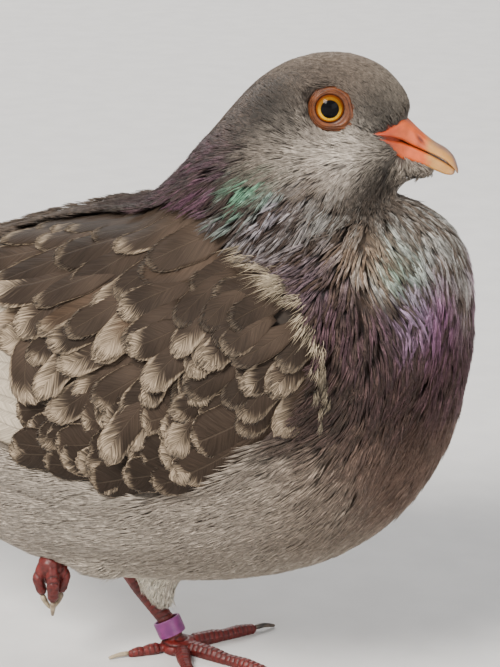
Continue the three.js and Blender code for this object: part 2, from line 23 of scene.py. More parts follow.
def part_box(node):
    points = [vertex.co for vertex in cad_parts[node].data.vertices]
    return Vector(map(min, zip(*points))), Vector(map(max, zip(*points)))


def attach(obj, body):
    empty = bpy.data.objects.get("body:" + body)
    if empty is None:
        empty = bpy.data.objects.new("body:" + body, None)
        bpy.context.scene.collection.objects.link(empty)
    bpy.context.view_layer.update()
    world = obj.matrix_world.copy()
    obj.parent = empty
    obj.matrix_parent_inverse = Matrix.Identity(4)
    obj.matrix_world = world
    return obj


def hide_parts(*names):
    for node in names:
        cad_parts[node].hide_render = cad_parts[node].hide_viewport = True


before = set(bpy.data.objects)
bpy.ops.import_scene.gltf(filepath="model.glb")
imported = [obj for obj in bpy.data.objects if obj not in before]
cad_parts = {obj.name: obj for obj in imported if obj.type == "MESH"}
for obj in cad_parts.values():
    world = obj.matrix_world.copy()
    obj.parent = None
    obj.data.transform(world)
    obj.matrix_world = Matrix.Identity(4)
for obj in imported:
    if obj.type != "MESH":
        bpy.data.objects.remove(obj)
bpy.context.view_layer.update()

LOG = logging.getLogger("pigeon")
MM = 0.001
BODY = "root"
MIDLINE = sum(corner.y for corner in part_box("trunk")) / 2 / MM  # the body's middle plane
FLESH = ("head", "neck", "breast", "trunk", "rump", "thigh_left", "thigh_right", "wing_left", "wing_right")
HEAD_AXIS_X = 33.3  # the head turns about an upright line here
HEAD_TURN = 12.0  # degrees, towards the bird's left
WING_EDGE = (  # place along the body, and the folded wing's upper and lower edge in degrees from the spine
    (-94.0, 52, 82), (-84.0, 36, 87), (-73.7, 25, 91), (-48.7, 12, 96), (-26.7, 8, 102), (-6.7, 12, 109),
    (13.3, 22, 115.5), (29.3, 32, 113.5), (42.3, 41, 104.5), (51.8, 51, 94), (56.3, 64, 82))
BODY_CORE = ((-122, 89), (-76, 80), (-25, 77), (25, 84), (60, 92), (80, 103))  # x and height of the middle
SEED = 7

Array = np.ndarray
Finishes = dict[str, bpy.types.Material]


class Side(Enum):
    """The bird's two sides, with the sign of Y that each one has."""

    LEFT = 1
    RIGHT = -1

    @property
    def tag(self) -> str:
        """The side's name, as it ends a node's name."""
        return self.name.lower()


class Vane(Enum):
    """The kinds of long or scale-like feather."""

    COVERT = "covert"
    QUILL = "quill"
    TAIL = "tail"


# ---- numbers and colours ----


def linear(red: float, green: float, blue: float) -> Array:
    """A colour given in screen values, 0 to 255, as linear light."""
    screen = np.array([red, green, blue]) / 255
    return np.where(screen <= 0.04045, screen / 12.92, ((screen + 0.055) / 1.055) ** 2.4)


def unit(vectors: Array) -> Array:
    """Vectors scaled to a length of one."""
    return vectors / np.maximum(np.linalg.norm(vectors, axis=-1, keepdims=True), 1e-12)


def ramp(low: float, high: float, value: Array) -> Array:
    """A smooth step from 0 at low to 1 at high."""
    share = np.clip((value - low) / (high - low), 0, 1)
    return share * share * (3 - 2 * share)


def hump(value: Array, middle: float, width: float) -> Array:
    """A bell of height one about a middle."""
    return np.exp(-(((value - middle) / width) ** 2))


def head_frame(points: Array, back: bool = False) -> Array:
    """Turns points of the head from the body's frame into the head's own, or back again.

    Args:
        points: places in millimetres, with Y from the body's middle plane.
        back: True to go from the head's frame to the body's.

    Returns:
        The turned places. The turn fades out down the neck.
    """
    share = np.interp(points[..., 2], [131.0, 149.0], [0.0, 1.0])
    turn = np.radians(HEAD_TURN) * share * (1 if back else -1)
    out = points[..., 0] - HEAD_AXIS_X
    moved = points.copy()
    moved[..., 0] = HEAD_AXIS_X + out * np.cos(turn) - points[..., 1] * np.sin(turn)
    moved[..., 1] = out * np.sin(turn) + points[..., 1] * np.cos(turn)
    return moved


# ---- meshes ----


def solid_box(name: str) -> tuple[Array, Array]:
    """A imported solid's lowest and highest corners, in millimetres."""
    low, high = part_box(name)
    return np.array(low) / MM, np.array(high) / MM


def placed(name: str, data: bpy.types.ID) -> bpy.types.Object:
    """A new object in the scene.

    Args:
        name: its name.
        data: its mesh, light or camera.

    Returns:
        The object.
    """
    thing = bpy.data.objects.new(name, data)
    bpy.context.scene.collection.objects.link(thing)
    return thing


def as_piece(mesh: bpy.types.Mesh, material: bpy.types.Material,
             replaced: Sequence[str] = ()) -> bpy.types.Object:
    """Makes a piece of a finished mesh, which rides on the body, and reports it.

    Args:
        mesh: the mesh, which has the piece's name.
        material: its finish.
        replaced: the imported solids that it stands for.

    Returns:
        The object, smooth shaded.
    """
    mesh.materials.clear()
    mesh.materials.append(material)
    mesh.polygons.foreach_set("use_smooth", np.ones(len(mesh.polygons), bool))
    piece = placed(mesh.name, mesh)
    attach(piece, BODY)
    if replaced:
        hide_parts(*replaced)
    LOG.info("%s: %d faces", mesh.name, len(mesh.polygons))
    return piece


@dataclass
class Form:
    """A mesh in millimetres: its points, its faces and what is painted on them."""

    points: Array
    faces: Array
    uv: dict[str, Array] = field(default_factory=dict)  # two numbers for each face corner
    values: dict[str, Array] = field(default_factory=dict)  # a colour or a number for each point

    def piece(self, name: str, material: bpy.types.Material, slot: str, *replaced: str) -> bpy.types.Object:
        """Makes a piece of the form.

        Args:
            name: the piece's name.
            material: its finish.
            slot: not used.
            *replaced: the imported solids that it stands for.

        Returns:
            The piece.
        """
        mesh = bpy.data.meshes.new(name)
        corners = self.faces.shape[1]
        mesh.vertices.add(len(self.points))
        mesh.vertices.foreach_set("co", (self.points * MM).astype(np.float32).ravel())
        mesh.loops.add(self.faces.size)
        mesh.loops.foreach_set("vertex_index", self.faces.astype(np.int32).ravel())
        mesh.polygons.add(len(self.faces))
        mesh.polygons.foreach_set("loop_start", np.arange(0, self.faces.size, corners, dtype=np.int32))
        mesh.update(calc_edges=True)
        mesh.validate()
        for title, values in self.uv.items():
            layer = mesh.uv_layers.new(name=title)
            layer.data.foreach_set("uv", values.astype(np.float32).ravel())
        for title, values in self.values.items():
            self._paint(mesh, title, values)
        return as_piece(mesh, material, replaced)

    @staticmethod
    def _paint(mesh: bpy.types.Mesh, title: str, values: Array) -> None:
        """Stores a number or a colour on each point of a mesh.

        Args:
            mesh: the mesh to paint.
            title: the attribute's name.
            values: one number, or three for a colour, for each point.
        """
        if values.ndim == 1:
            layer = mesh.attributes.new(title, "FLOAT", "POINT")
            layer.data.foreach_set("value", values.astype(np.float32))
            return
        layer = mesh.attributes.new(title, "FLOAT_COLOR", "POINT")
        full = np.ones((len(values), 4), np.float32)
        full[:, :3] = values
        layer.data.foreach_set("color", full.ravel())


def joined(forms: Sequence[Form]) -> Form:
    """Several forms with the same maps and paints, as one.

    Args:
        forms: the forms, all with faces of the same number of corners.

    Returns:
        One form with all their points and faces.
    """
    starts = np.cumsum([0] + [len(form.points) for form in forms[:-1]])
    first = forms[0]
    return Form(
        np.concatenate([form.points for form in forms]),
        np.concatenate([form.faces + start for form, start in zip(forms, starts)]),
        {title: np.concatenate([form.uv[title] for form in forms]) for title in first.uv},
        {title: np.concatenate([form.values[title] for form in forms]) for title in first.values},
    )


def grid_faces(rows: int, columns: int, closed: bool) -> Array:
    """The four-cornered faces of a grid of points, row by row.

    Args:
        rows: how many rows of points there are.
        columns: how many points a row has.
        closed: whether each row runs round and meets itself.

    Returns:
        The faces as indices.
    """
    index = np.arange(rows * columns).reshape(rows, columns)
    if closed:
        index = np.concatenate([index, index[:, :1]], axis=1)
    corners = (index[:-1, :-1], index[:-1, 1:], index[1:, 1:], index[1:, :-1])
    return np.stack(corners, axis=-1).reshape(-1, 4)


def tube(rings: Array) -> Form:
    """A closed form through rings of points, with each end drawn in to a very small hole-less knot.

    Args:
        rings: points as rings, points of a ring, and three coordinates.

    Returns:
        The form, with a map named "wrap" that runs round and along it.
    """
    knots = [rings[0].mean(0), rings[-1].mean(0)]
    caps = [knots[0] + (rings[0] - knots[0]) * 1e-3, knots[1] + (rings[-1] - knots[1]) * 1e-3]
    rings = np.concatenate([caps[:1], rings, caps[1:]])
    rows, columns = rings.shape[:2]
    faces = grid_faces(rows, columns, closed=True)
    along, around = np.meshgrid(np.linspace(0, 1, rows), np.linspace(0, 1, columns + 1), indexing="ij")
    wrap = np.stack([around, along], axis=-1).reshape(-1, 2)
    corners = grid_faces(rows, columns + 1, closed=False)
    return Form(rings.reshape(-1, 3), faces, {"wrap": wrap[corners].reshape(-1, 2)})


def frame_of(axis: Array) -> tuple[Array, Array]:
    """Two directions square to an axis of length one, the second one as far up as it can be."""
    across = unit(np.cross([0.0, 0.0, 1.0], axis)) if abs(axis[2]) < 0.95 else np.array([0.0, 1.0, 0.0])
    return across, unit(np.cross(axis, across))


def turned_rings(outline: Array, centre: Array, axis: Array, sides: int) -> Array:
    """Rings of points about an axis.

    Args:
        outline: radius and height pairs, from one end to the other.
        centre: where height zero is.
        axis: the way that heights grow.
        sides: how many points a ring has.

    Returns:
        Rings of points.
    """
    across, upward = frame_of(axis)
    turn = np.linspace(0, 2 * np.pi, sides, endpoint=False)
    out = np.cos(turn)[:, None] * across + np.sin(turn)[:, None] * upward
    return centre + outline[:, 0, None, None] * out + outline[:, 1, None, None] * axis


def smooth_line(stations: Array, count: int) -> Array:
    """A smooth run of values through stations, evenly spread by station.

    Args:
        stations: rows of numbers.
        count: how many rows to return.

    Returns:
        The filled-in rows.
    """
    last = len(stations) - 1
    place = np.linspace(0, last, count)
    low = np.clip(place.astype(int), 0, last - 1)
    t = (place - low)[:, None]
    before, here = stations[np.maximum(low - 1, 0)], stations[low]
    there, after = stations[low + 1], stations[np.minimum(low + 2, last)]
    slope = (there - before) * t
    square = (2 * before - 5 * here + 4 * there - after) * t**2
    cube = (3 * here - before - 3 * there + after) * t**3
    return 0.5 * (2 * here + slope + square + cube)


def cad_form(names: Iterable[str], swell: float) -> bpy.types.Object:
    """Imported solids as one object, each swollen so that the thin cuts between them close.

    Args:
        names: the nodes to take.
        swell: how far each surface moves out, in millimetres.

    Returns:
        A scratch object in metres, to be remeshed and removed.
    """
    whole = bmesh.new()
    for name in names:
        one = bmesh.new()
        one.from_mesh(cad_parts[name].data)
        bmesh.ops.remove_doubles(one, verts=one.verts, dist=1e-6)
        one.normal_update()
        for vertex in one.verts:
            vertex.co += vertex.normal * swell * MM
        scratch = bpy.data.meshes.new("scratch")
        one.to_mesh(scratch)
        whole.from_mesh(scratch)
        one.free()
        bpy.data.meshes.remove(scratch)
    mesh = bpy.data.meshes.new("scratch_whole")
    whole.to_mesh(mesh)
    whole.free()
    return placed("scratch_whole", mesh)


def remeshed(names: Iterable[str], voxel: float, swell: float,
             extra: Optional[Form] = None) -> tuple[Array, Array]:
    """One even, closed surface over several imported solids.

    Args:
        names: the nodes to take.
        voxel: the size of the new faces, in millimetres.
        swell: how far each solid's surface moves out first, in millimetres.
        extra: a form to join to them.

    Returns:
        Points in millimetres, and faces with four corners.
    """
    scratch = cad_form(names, swell)
    if extra:
        more = bpy.data.meshes.new("scratch_more")
        more.from_pydata((extra.points * MM).tolist(), [], extra.faces.tolist())
        both = bmesh.new()
        both.from_mesh(scratch.data)
        both.from_mesh(more)
        both.to_mesh(scratch.data)
        both.free()
        bpy.data.meshes.remove(more)
    modifier = scratch.modifiers.new("even", "REMESH")
    modifier.mode = "VOXEL"
    modifier.voxel_size = voxel * MM
    evaluated = scratch.evaluated_get(bpy.context.evaluated_depsgraph_get())
    mesh = bpy.data.meshes.new_from_object(evaluated)
    points = np.zeros(len(mesh.vertices) * 3)
    mesh.vertices.foreach_get("co", points)
    faces = np.zeros(len(mesh.polygons) * 4, np.int32)
    mesh.polygons.foreach_get("vertices", faces)
    old = scratch.data
    bpy.data.objects.remove(scratch)
    bpy.data.meshes.remove(old)
    bpy.data.meshes.remove(mesh)
    return points.reshape(-1, 3) / MM, faces.reshape(-1, 4)


# ---- finishes ----


class Nodes:
    """Builds one node material, step by step."""

    def __init__(self, name: str) -> None:
        """Starts a material that holds a plain shader.

        Args:
            name: the material's name.
        """
        self.material = bpy.data.materials.new(name)
        self.material.use_nodes = True
        self.tree = self.material.node_tree
        self.shader = self.tree.nodes["Principled BSDF"]

    def add(self, kind: str, **settings: object) -> bpy.types.Node:
        """Adds a node and sets its own settings.

        Args:
            kind: the node's type, without its ShaderNode prefix.
            **settings: settings of the node by name.

        Returns:
            The node.
        """
        node = self.tree.nodes.new("ShaderNode" + kind)
        for title, value in settings.items():
            setattr(node, title, value)
        return node

    def feed(self, socket: bpy.types.NodeSocket, value: object) -> None:
        """Gives a socket a value, or links it to another socket.

        Args:
            socket: the socket to feed.
            value: a number, a colour or a socket.
        """
        if isinstance(value, bpy.types.NodeSocket):
            self.tree.links.new(value, socket)
        else:
            socket.default_value = value

    def set(self, **inputs: object) -> None:
        """Sets the shader's own sockets; underscores in a name stand for spaces."""
        for title, value in inputs.items():
            self.feed(self.shader.inputs[title.replace("_", " ")], value)

    def math(self, operation: str, first: object, second: object = 0.0) -> object:
        """One sum on one or two numbers.

        Args:
            operation: the sum's name.
            first: a number or socket.
            second: a number or socket.

        Returns:
            The result's socket.
        """
        node = self.add("Math", operation=operation)
        self.feed(node.inputs[0], first)
        self.feed(node.inputs[1], second)
        return node.outputs[0]

    def times(self, first: object, second: object) -> object:
        """The product of two numbers or sockets."""
        return self.math("MULTIPLY", first, second)

    def plus(self, first: object, second: object) -> object:
        """The sum of two numbers or sockets."""
        return self.math("ADD", first, second)

    def minus(self, first: object, second: object) -> object:
        """The first number or socket less the second."""
        return self.math("SUBTRACT", first, second)

    def span(self, value: object, low: float, high: float, start: float = 0.0, end: float = 1.0) -> object:
        """A smooth change from start to end as a value goes from low to high.

        Args:
            value: the socket to read.
            low: where the change starts.
            high: where it ends.
            start: the result below low.
            end: the result above high.

        Returns:
            The result's socket.
        """
        node = self.add("MapRange", interpolation_type="SMOOTHSTEP")
        for title, number in zip(("Value", "From Min", "From Max", "To Min", "To Max"),
                                 (value, low, high, start, end)):
            self.feed(node.inputs[title], number)
        return node.outputs[0]

    def mix(self, factor: object, first: object, second: object, blend: str = "MIX") -> object:
        """Mixes two colours.

        Args:
            factor: how much of the second there is.
            first: a colour or socket.
            second: a colour or socket.
            blend: how they mix.

        Returns:
            The mixed colour's socket.
        """
        node = self.add("Mix", data_type="RGBA", blend_type=blend)
        self.feed(node.inputs["Factor"], factor)
        for title, value in (("A", first), ("B", second)):
            socket = next(s for s in node.inputs if s.name == title and s.type == "RGBA")
            self.feed(socket, value if isinstance(value, bpy.types.NodeSocket) else (*value, 1.0))
        return next(s for s in node.outputs if s.type == "RGBA")

    def shaded(self, colour: object, light: object) -> object:
        """A colour made lighter or darker by a factor."""
        return self.mix(1.0, colour, self.vector(light, light, light), "MULTIPLY")

    def noise(self, vector: object, scale: float, detail: float = 3.0, rough: float = 0.5) -> object:
        """Soft noise over a vector.

        Args:
            vector: the place's socket.
            scale: how fine it is.
            detail: how many finer layers it has.
            rough: how strong they are.

        Returns:
            The noise's socket, 0 to 1.
        """
        node = self.add("TexNoise")
        self.feed(node.inputs["Vector"], vector)
        for title, value in (("Scale", scale), ("Detail", detail), ("Roughness", rough)):
            node.inputs[title].default_value = value
        return node.outputs[0]

    def vector(self, x: object, y: object, z: object = 0.0) -> object:
        """A vector of three numbers or sockets.

        Args:
            x: its first number.
            y: its second number.
            z: its third number.

        Returns:
            The vector's socket.
        """
        node = self.add("CombineXYZ")
        for socket, value in zip(node.inputs, (x, y, z)):
            self.feed(socket, value)
        return node.outputs[0]

    def uv(self, name: str) -> tuple[object, object]:
        """The two numbers of a map.

        Args:
            name: the map's name.

        Returns:
            Their sockets.
        """
        split = self.add("SeparateXYZ")
        self.feed(split.inputs[0], self.add("UVMap", uv_map=name).outputs[0])
        return split.outputs[0], split.outputs[1]

    def paint(self, name: str) -> bpy.types.Node:
        """The node that reads what is painted on the points under a name."""
        return self.add("Attribute", attribute_name=name)

    def place(self) -> object:
        """The place on the object, in metres."""
        return self.add("TexCoord").outputs["Object"]

    def bump(self, height: object, strength: float, distance: float) -> None:
        """Raises the surface by a height.

        Args:
            height: the height's socket.
            strength: how much of it shows.
            distance: how high a height of one is, in millimetres.
        """
        node = self.add("Bump")
        self.feed(node.inputs["Height"], height)
        node.inputs["Strength"].default_value = strength
        node.inputs["Distance"].default_value = distance * MM
        self.feed(self.shader.inputs["Normal"], node.outputs[0])


@dataclass(frozen=True)
class CoatFinish:
    """Soft strands in the colours that are painted on them, with a gloss where they shimmer."""

    name: str
    streaks: float = 0.2  # how much a strand's lightness wanders along it
    roughness: float = 0.62

    def build(self) -> bpy.types.Material:
        """Builds the node material.

        Returns:
            The material.
        """
        nodes = Nodes(self.name)
        colour = nodes.paint("plumage").outputs["Color"]
        gloss = nodes.paint("gloss").outputs["Fac"]
        grain = nodes.noise(nodes.place(), 900.0, 2.0)
        light = nodes.span(grain, 0.3, 0.75, 1 - self.streaks, 1 + self.streaks)
        shade = nodes.shaded(colour, light)
        nodes.set(Base_Color=shade, Sheen_Weight=0.04, Sheen_Roughness=0.5, Specular_IOR_Level=0.22)
        nodes.set(Metallic=nodes.times(gloss, 0.5))
        nodes.set(Roughness=nodes.span(gloss, 0.0, 1.0, self.roughness, 0.36))
        return nodes.material


@dataclass(frozen=True)
class VaneFinish:
    """A feather's vane: a dark middle, a pale fringe broken along its barbs, and the barbs' fine lines."""

    name: str
    dark: Array
    tan: Array
    fringe: Array
    edge: float  # how broad the fringe is, as a share of the half width
    tip: float  # how deep it is at the tip, as a share of the length
    barbs: float = 60.0  # lines along the length
    slant: float = 0.28  # how far a barb runs towards the tip on its way out
    white: float = 0.0  # how far each feather's own tone may turn it white
    band: float = 0.0  # how dark the band near the end is
    shaft: float = 0.3  # how far the shaft stands out from the vane

    def build(self) -> bpy.types.Material:
        """Builds the node material.

        Returns:
            The material.
        """
        nodes = Nodes(self.name)
        across, along = nodes.uv("vane")
        own = nodes.paint("own").outputs["Color"]
        split = nodes.add("SeparateColor")
        nodes.feed(split.inputs[0], own)
        tone, pattern, lot = split.outputs[0], split.outputs[1], split.outputs[2]
        side = nodes.minus(nodes.times(across, 2.0), 1.0)
        out = nodes.math("ABSOLUTE", side)
        hand = nodes.math("SIGN", side)
        barb = nodes.minus(along, nodes.times(out, self.slant))
        lane = nodes.plus(nodes.times(lot, 37.0), hand)
        fine = nodes.noise(nodes.vector(nodes.times(barb, self.barbs), lane,
                                        nodes.times(out, 1.3)), 1.0, 2.0)
        clump = nodes.noise(nodes.vector(nodes.times(barb, self.barbs * 0.22), lane,
                                         nodes.times(out, 0.8)), 1.0, 2.0)
        colour, pale = self._pattern(nodes, side, out, along, (tone, pattern, lot), fine, clump)
        light = nodes.span(fine, 0.25, 0.75, 0.72, 1.22)
        colour = nodes.shaded(colour, light)
        shaft = nodes.span(out, 0.015, 0.05, 1.0, 0.0)
        colour = nodes.mix(nodes.times(shaft, self.shaft), colour, self.fringe * 0.5)
        nodes.set(Base_Color=colour, Specular_IOR_Level=0.09)
        nodes.set(Roughness=nodes.span(pale, 0.0, 1.0, 0.62, 0.75))
        relief = nodes.plus(nodes.times(fine, 0.7), nodes.times(clump, 0.8))
        nodes.bump(nodes.plus(relief, nodes.times(shaft, 0.8)), 0.55, 0.35)
        return nodes.material

    def _pattern(self, nodes: Nodes, side: object, out: object, along: object,
                 own: tuple[object, object, object], fine: object, clump: object) -> tuple[object, object]:
        """The dark middle, the tan patch, the pale fringe and the band.

        Args:
            nodes: the material being built.
            side: -1 to 1 across the feather.
            out: how far out from the shaft, 0 to 1.
            along: how far along the feather, 0 to 1.
            own: the feather's own tone, lean and lot, 0 to 1.
            fine: the barbs' fine noise.
            clump: the barbs' broad noise.

        Returns:
            The colour's socket, and how pale it is.
        """
        tone, pattern, lot = own
        lean = nodes.times(side, nodes.span(pattern, 0.0, 1.0, -0.7, 0.7))
        swing = nodes.plus(nodes.span(lot, 0.0, 1.0, 0.1, 0.95), nodes.times(lean, lot))
        grown = nodes.span(along, 0.35, 0.8)
        rim = nodes.times(nodes.times(swing, grown), self.edge)
        end = nodes.times(nodes.math("MAXIMUM", swing, 0.05), self.tip)
        ragged = nodes.minus(nodes.plus(nodes.times(clump, 1.4),
                                                   nodes.times(fine, 2.2)), 1.85)
        inward = nodes.math("DIVIDE", nodes.minus(1.0, out), nodes.math("MAXIMUM", rim, 0.02))
        upward = nodes.math("DIVIDE", nodes.minus(1.0, along), end)
        near = nodes.minus(nodes.math("MINIMUM", inward, upward), ragged)
        pale = nodes.times(nodes.span(near, 0.1, 2.3, 1.0, 0.0), nodes.span(along, 0.25, 0.5))
        pale = nodes.times(pale, nodes.span(lot, 0.05, 0.5, 0.2, 1.0))
        light = nodes.span(tone, 0.0, 1.0, 0.8, 1.3)
        core = nodes.mix(nodes.span(along, 0.35, 0.72), self.dark * 1.7, self.dark)
        base = nodes.shaded(core, light)
        warm = nodes.times(nodes.span(tone, 0.8, 0.93), nodes.span(out, 0.9, 0.3))
        base = nodes.mix(nodes.times(warm, 0.4), base, self.tan)
        if self.band:
            dusk = nodes.span(along, 0.7, 0.8)
            dusk = nodes.times(dusk, nodes.span(along, 0.93, 0.97, 1.0, 0.25))
            base = nodes.mix(nodes.times(dusk, self.band), base, self.dark * 0.25)
        if self.white:
            bleached = nodes.span(tone, 1 - self.white, 1 - self.white + 0.02)
            base = nodes.mix(nodes.times(bleached, 0.85), base, self.fringe)
        edging = nodes.mix(nodes.span(fine, 0.32, 0.68), self.fringe * 0.7, self.fringe * 1.06)
        return nodes.mix(pale, base, edging), pale


@dataclass(frozen=True)
class EyeFinish:
    """A wet eye: black pupil, yellow then orange iris with fine rays, darker towards its top as painted
    shade, and a dark rim.
    """

    name: str = "eye_wet"
    pupil: float = 0.16  # these are shares of the way from pole to pole
    inner: float = 0.205
    outer: float = 0.235

    def build(self) -> bpy.types.Material:
        """Builds the node material.

        Returns:
            The material.
        """
        nodes = Nodes(self.name)
        around, along = nodes.uv("wrap")
        turn = nodes.times(around, 2 * math.pi)
        ray_place = nodes.vector(nodes.times(nodes.math("COSINE", turn), 9.0),
                                 nodes.times(nodes.math("SINE", turn), 9.0),
                                 nodes.times(along, 9.0))
        rays = nodes.noise(ray_place, 2.2, 3.0, 0.6)
        wander = nodes.times(nodes.minus(rays, 0.5), 0.022)
        reach = nodes.plus(along, wander)
        yellow, orange = linear(226, 172, 30), linear(132, 66, 18)
        colour = nodes.mix(nodes.span(reach, self.inner - 0.012, self.inner + 0.02), yellow, orange)
        light = nodes.span(rays, 0.25, 0.75, 0.7, 1.3)
        colour = nodes.shaded(colour, light)
        # painted shade: the iris darkens towards its top
        above = nodes.span(nodes.math("SINE", turn), -0.9, 0.5)
        colour = nodes.mix(nodes.times(above, 0.85), colour, linear(90, 46, 14))
        colour = nodes.mix(nodes.span(along, self.pupil - 0.004, self.pupil + 0.004, 1.0, 0.0),
                           colour, (0.004, 0.004, 0.005))
        colour = nodes.mix(nodes.span(along, self.outer, self.outer + 0.012), colour, linear(70, 28, 14))
        nodes.set(Base_Color=colour, Roughness=0.08, IOR=1.34, Specular_IOR_Level=0.13)
        return nodes.material


@dataclass(frozen=True)
class SkinFinish:
    """Bare skin with folds or scales, in two tones, and painted shade in its creases."""

    name: str
    main: Array
    deep: Array
    scale: float  # size of the grain, in lines to a metre
    roughness: float = 0.5
    depth: float = 0.15

    def build(self) -> bpy.types.Material:
        """Builds the node material.

        Returns:
            The material.
        """
        nodes = Nodes(self.name)
        crease = nodes.paint("crease").outputs["Fac"]
        grain = nodes.noise(nodes.place(), self.scale, 4.0, 0.6)
        soft = nodes.noise(nodes.place(), self.scale * 0.18, 2.0)
        colour = nodes.mix(nodes.span(soft, 0.35, 0.65), self.main, self.main * 0.6 + self.deep * 0.4)
        # painted shade: the creases take the deep colour
        colour = nodes.mix(nodes.times(crease, 0.85), colour, self.deep)
        light = nodes.span(grain, 0.3, 0.7, 0.8, 1.18)
        colour = nodes.shaded(colour, light)
        nodes.set(Base_Color=colour, Subsurface_Weight=0.12, Subsurface_Scale=0.002)
        nodes.set(Roughness=nodes.span(grain, 0.3, 0.7, self.roughness + 0.12, self.roughness - 0.08))
        nodes.bump(nodes.minus(grain, crease), 0.5, self.depth)
        return nodes.material


@dataclass(frozen=True)
class BillFinish:
    """Salmon skin at the base of the bill, cream horn along it and a grey, clear-edged tip."""

    name: str = "bill_horn"

    def build(self) -> bpy.types.Material:
        """Builds the node material.

        Returns:
            The material.
        """
        nodes = Nodes(self.name)
        along = nodes.paint("along").outputs["Fac"]
        height = nodes.paint("height").outputs["Fac"]
        crease = nodes.paint("crease").outputs["Fac"]
        blotch = nodes.noise(nodes.place(), 420.0, 3.0, 0.55)
        grain = nodes.noise(nodes.place(), 2600.0, 3.0, 0.6)
        place = nodes.plus(along, nodes.times(nodes.minus(blotch, 0.5), 0.16))
        salmon, rose = linear(206, 94, 44), linear(180, 70, 40)
        cream, grey = linear(184, 134, 74), linear(122, 100, 98)
        colour = nodes.mix(nodes.span(place, 0.05, 0.4), rose, salmon)
        colour = nodes.mix(nodes.span(place, 0.54, 0.68), colour, cream)
        ridge = nodes.times(nodes.span(height, 0.35, 0.95), nodes.span(place, 0.56, 0.75))
        colour = nodes.mix(nodes.times(ridge, 0.75), colour, grey)
        colour = nodes.mix(nodes.times(nodes.span(place, 0.88, 1.0), 0.8), colour, grey)
        light = nodes.span(blotch, 0.3, 0.7, 0.86, 1.1)
        colour = nodes.shaded(colour, light)
        # painted shade in the creases: the nostril's slit and the line where the halves meet
        colour = nodes.mix(crease, colour, linear(92, 40, 34))
        nodes.set(Base_Color=colour, Subsurface_Weight=0.15, Subsurface_Scale=0.0015)
        nodes.set(Roughness=nodes.span(place, 0.35, 0.7, 0.46, 0.3))
        nodes.bump(nodes.plus(grain, nodes.times(blotch, 2.0)), 0.3, 0.06)
        return nodes.material


@dataclass(frozen=True)
class HornFinish:
    """Claw horn with streaks and patches of a paler tone."""

    name: str
    main: Array
    patch: Array

    def build(self) -> bpy.types.Material:
        """Builds the node material.

        Returns:
            The material.
        """
        nodes = Nodes(self.name)
        streak = nodes.noise(nodes.place(), 1500.0, 3.0)
        patch = nodes.noise(nodes.place(), 260.0, 2.0)
        colour = nodes.mix(nodes.span(patch, 0.4, 0.6), self.main, self.patch)
        colour = nodes.mix(nodes.span(streak, 0.3, 0.7, 0.0, 0.35), colour, self.main * 0.45)
        nodes.set(Base_Color=colour, Roughness=nodes.span(streak, 0.3, 0.7, 0.42, 0.28))
        nodes.bump(streak, 0.3, 0.05)
        return nodes.material


@dataclass(frozen=True)
class RingFinish:
    """Plain pink-purple plastic with fine scratches, paler at its top and bottom rims."""

    name: str = "ring_plastic"

    def build(self) -> bpy.types.Material:
        """Builds the node material.

        Returns:
            The material.
        """
        nodes = Nodes(self.name)
        paler_rims = nodes.paint("crease").outputs["Fac"]
        cloud = nodes.noise(nodes.place(), 300.0, 3.0)
        around, along = nodes.uv("wrap")
        scratch = nodes.noise(nodes.vector(nodes.times(around, 14.0),
                                           nodes.times(along, 160.0)), 1.0, 3.0, 0.7)
        colour = nodes.mix(nodes.span(cloud, 0.3, 0.7), linear(128, 50, 112), linear(100, 38, 94))
        # paler towards the band's top and bottom rims
        colour = nodes.mix(nodes.times(paler_rims, 0.4), colour, linear(166, 104, 156))
        nodes.set(Base_Color=colour, Subsurface_Weight=0.1, Subsurface_Scale=0.002)
        nodes.set(Roughness=nodes.span(scratch, 0.35, 0.7, 0.28, 0.5))
        nodes.bump(scratch, 0.25, 0.04)
        return nodes.material


# ---- markings and the lie of the coat ----


@dataclass(frozen=True)
class Zone:
    """One part of the plumage: where it is, and what its feathers are like there."""

    at: tuple[float, float, float]  # x, distance from the middle plane, z, before the head's turn
    reach: float
    colour: tuple[float, float, float]  # screen values
    shine: tuple[float, float, float] = (120, 110, 104)  # the sheen colour painted on its glossy strands, partly their own iridescent colour
    gloss: float = 0.0
    length: float = 9.0
    width: float = 5.5
    strand: float = 0.42  # width of one strand
    depth: float = 3.0  # from the skin to the coat's surface
    lift: float = 0.4  # how far the tips stand out
    clump: float = 0.2  # how far the strands run together into locks, with dark gaps between them, partly from painted shade at the strands' roots
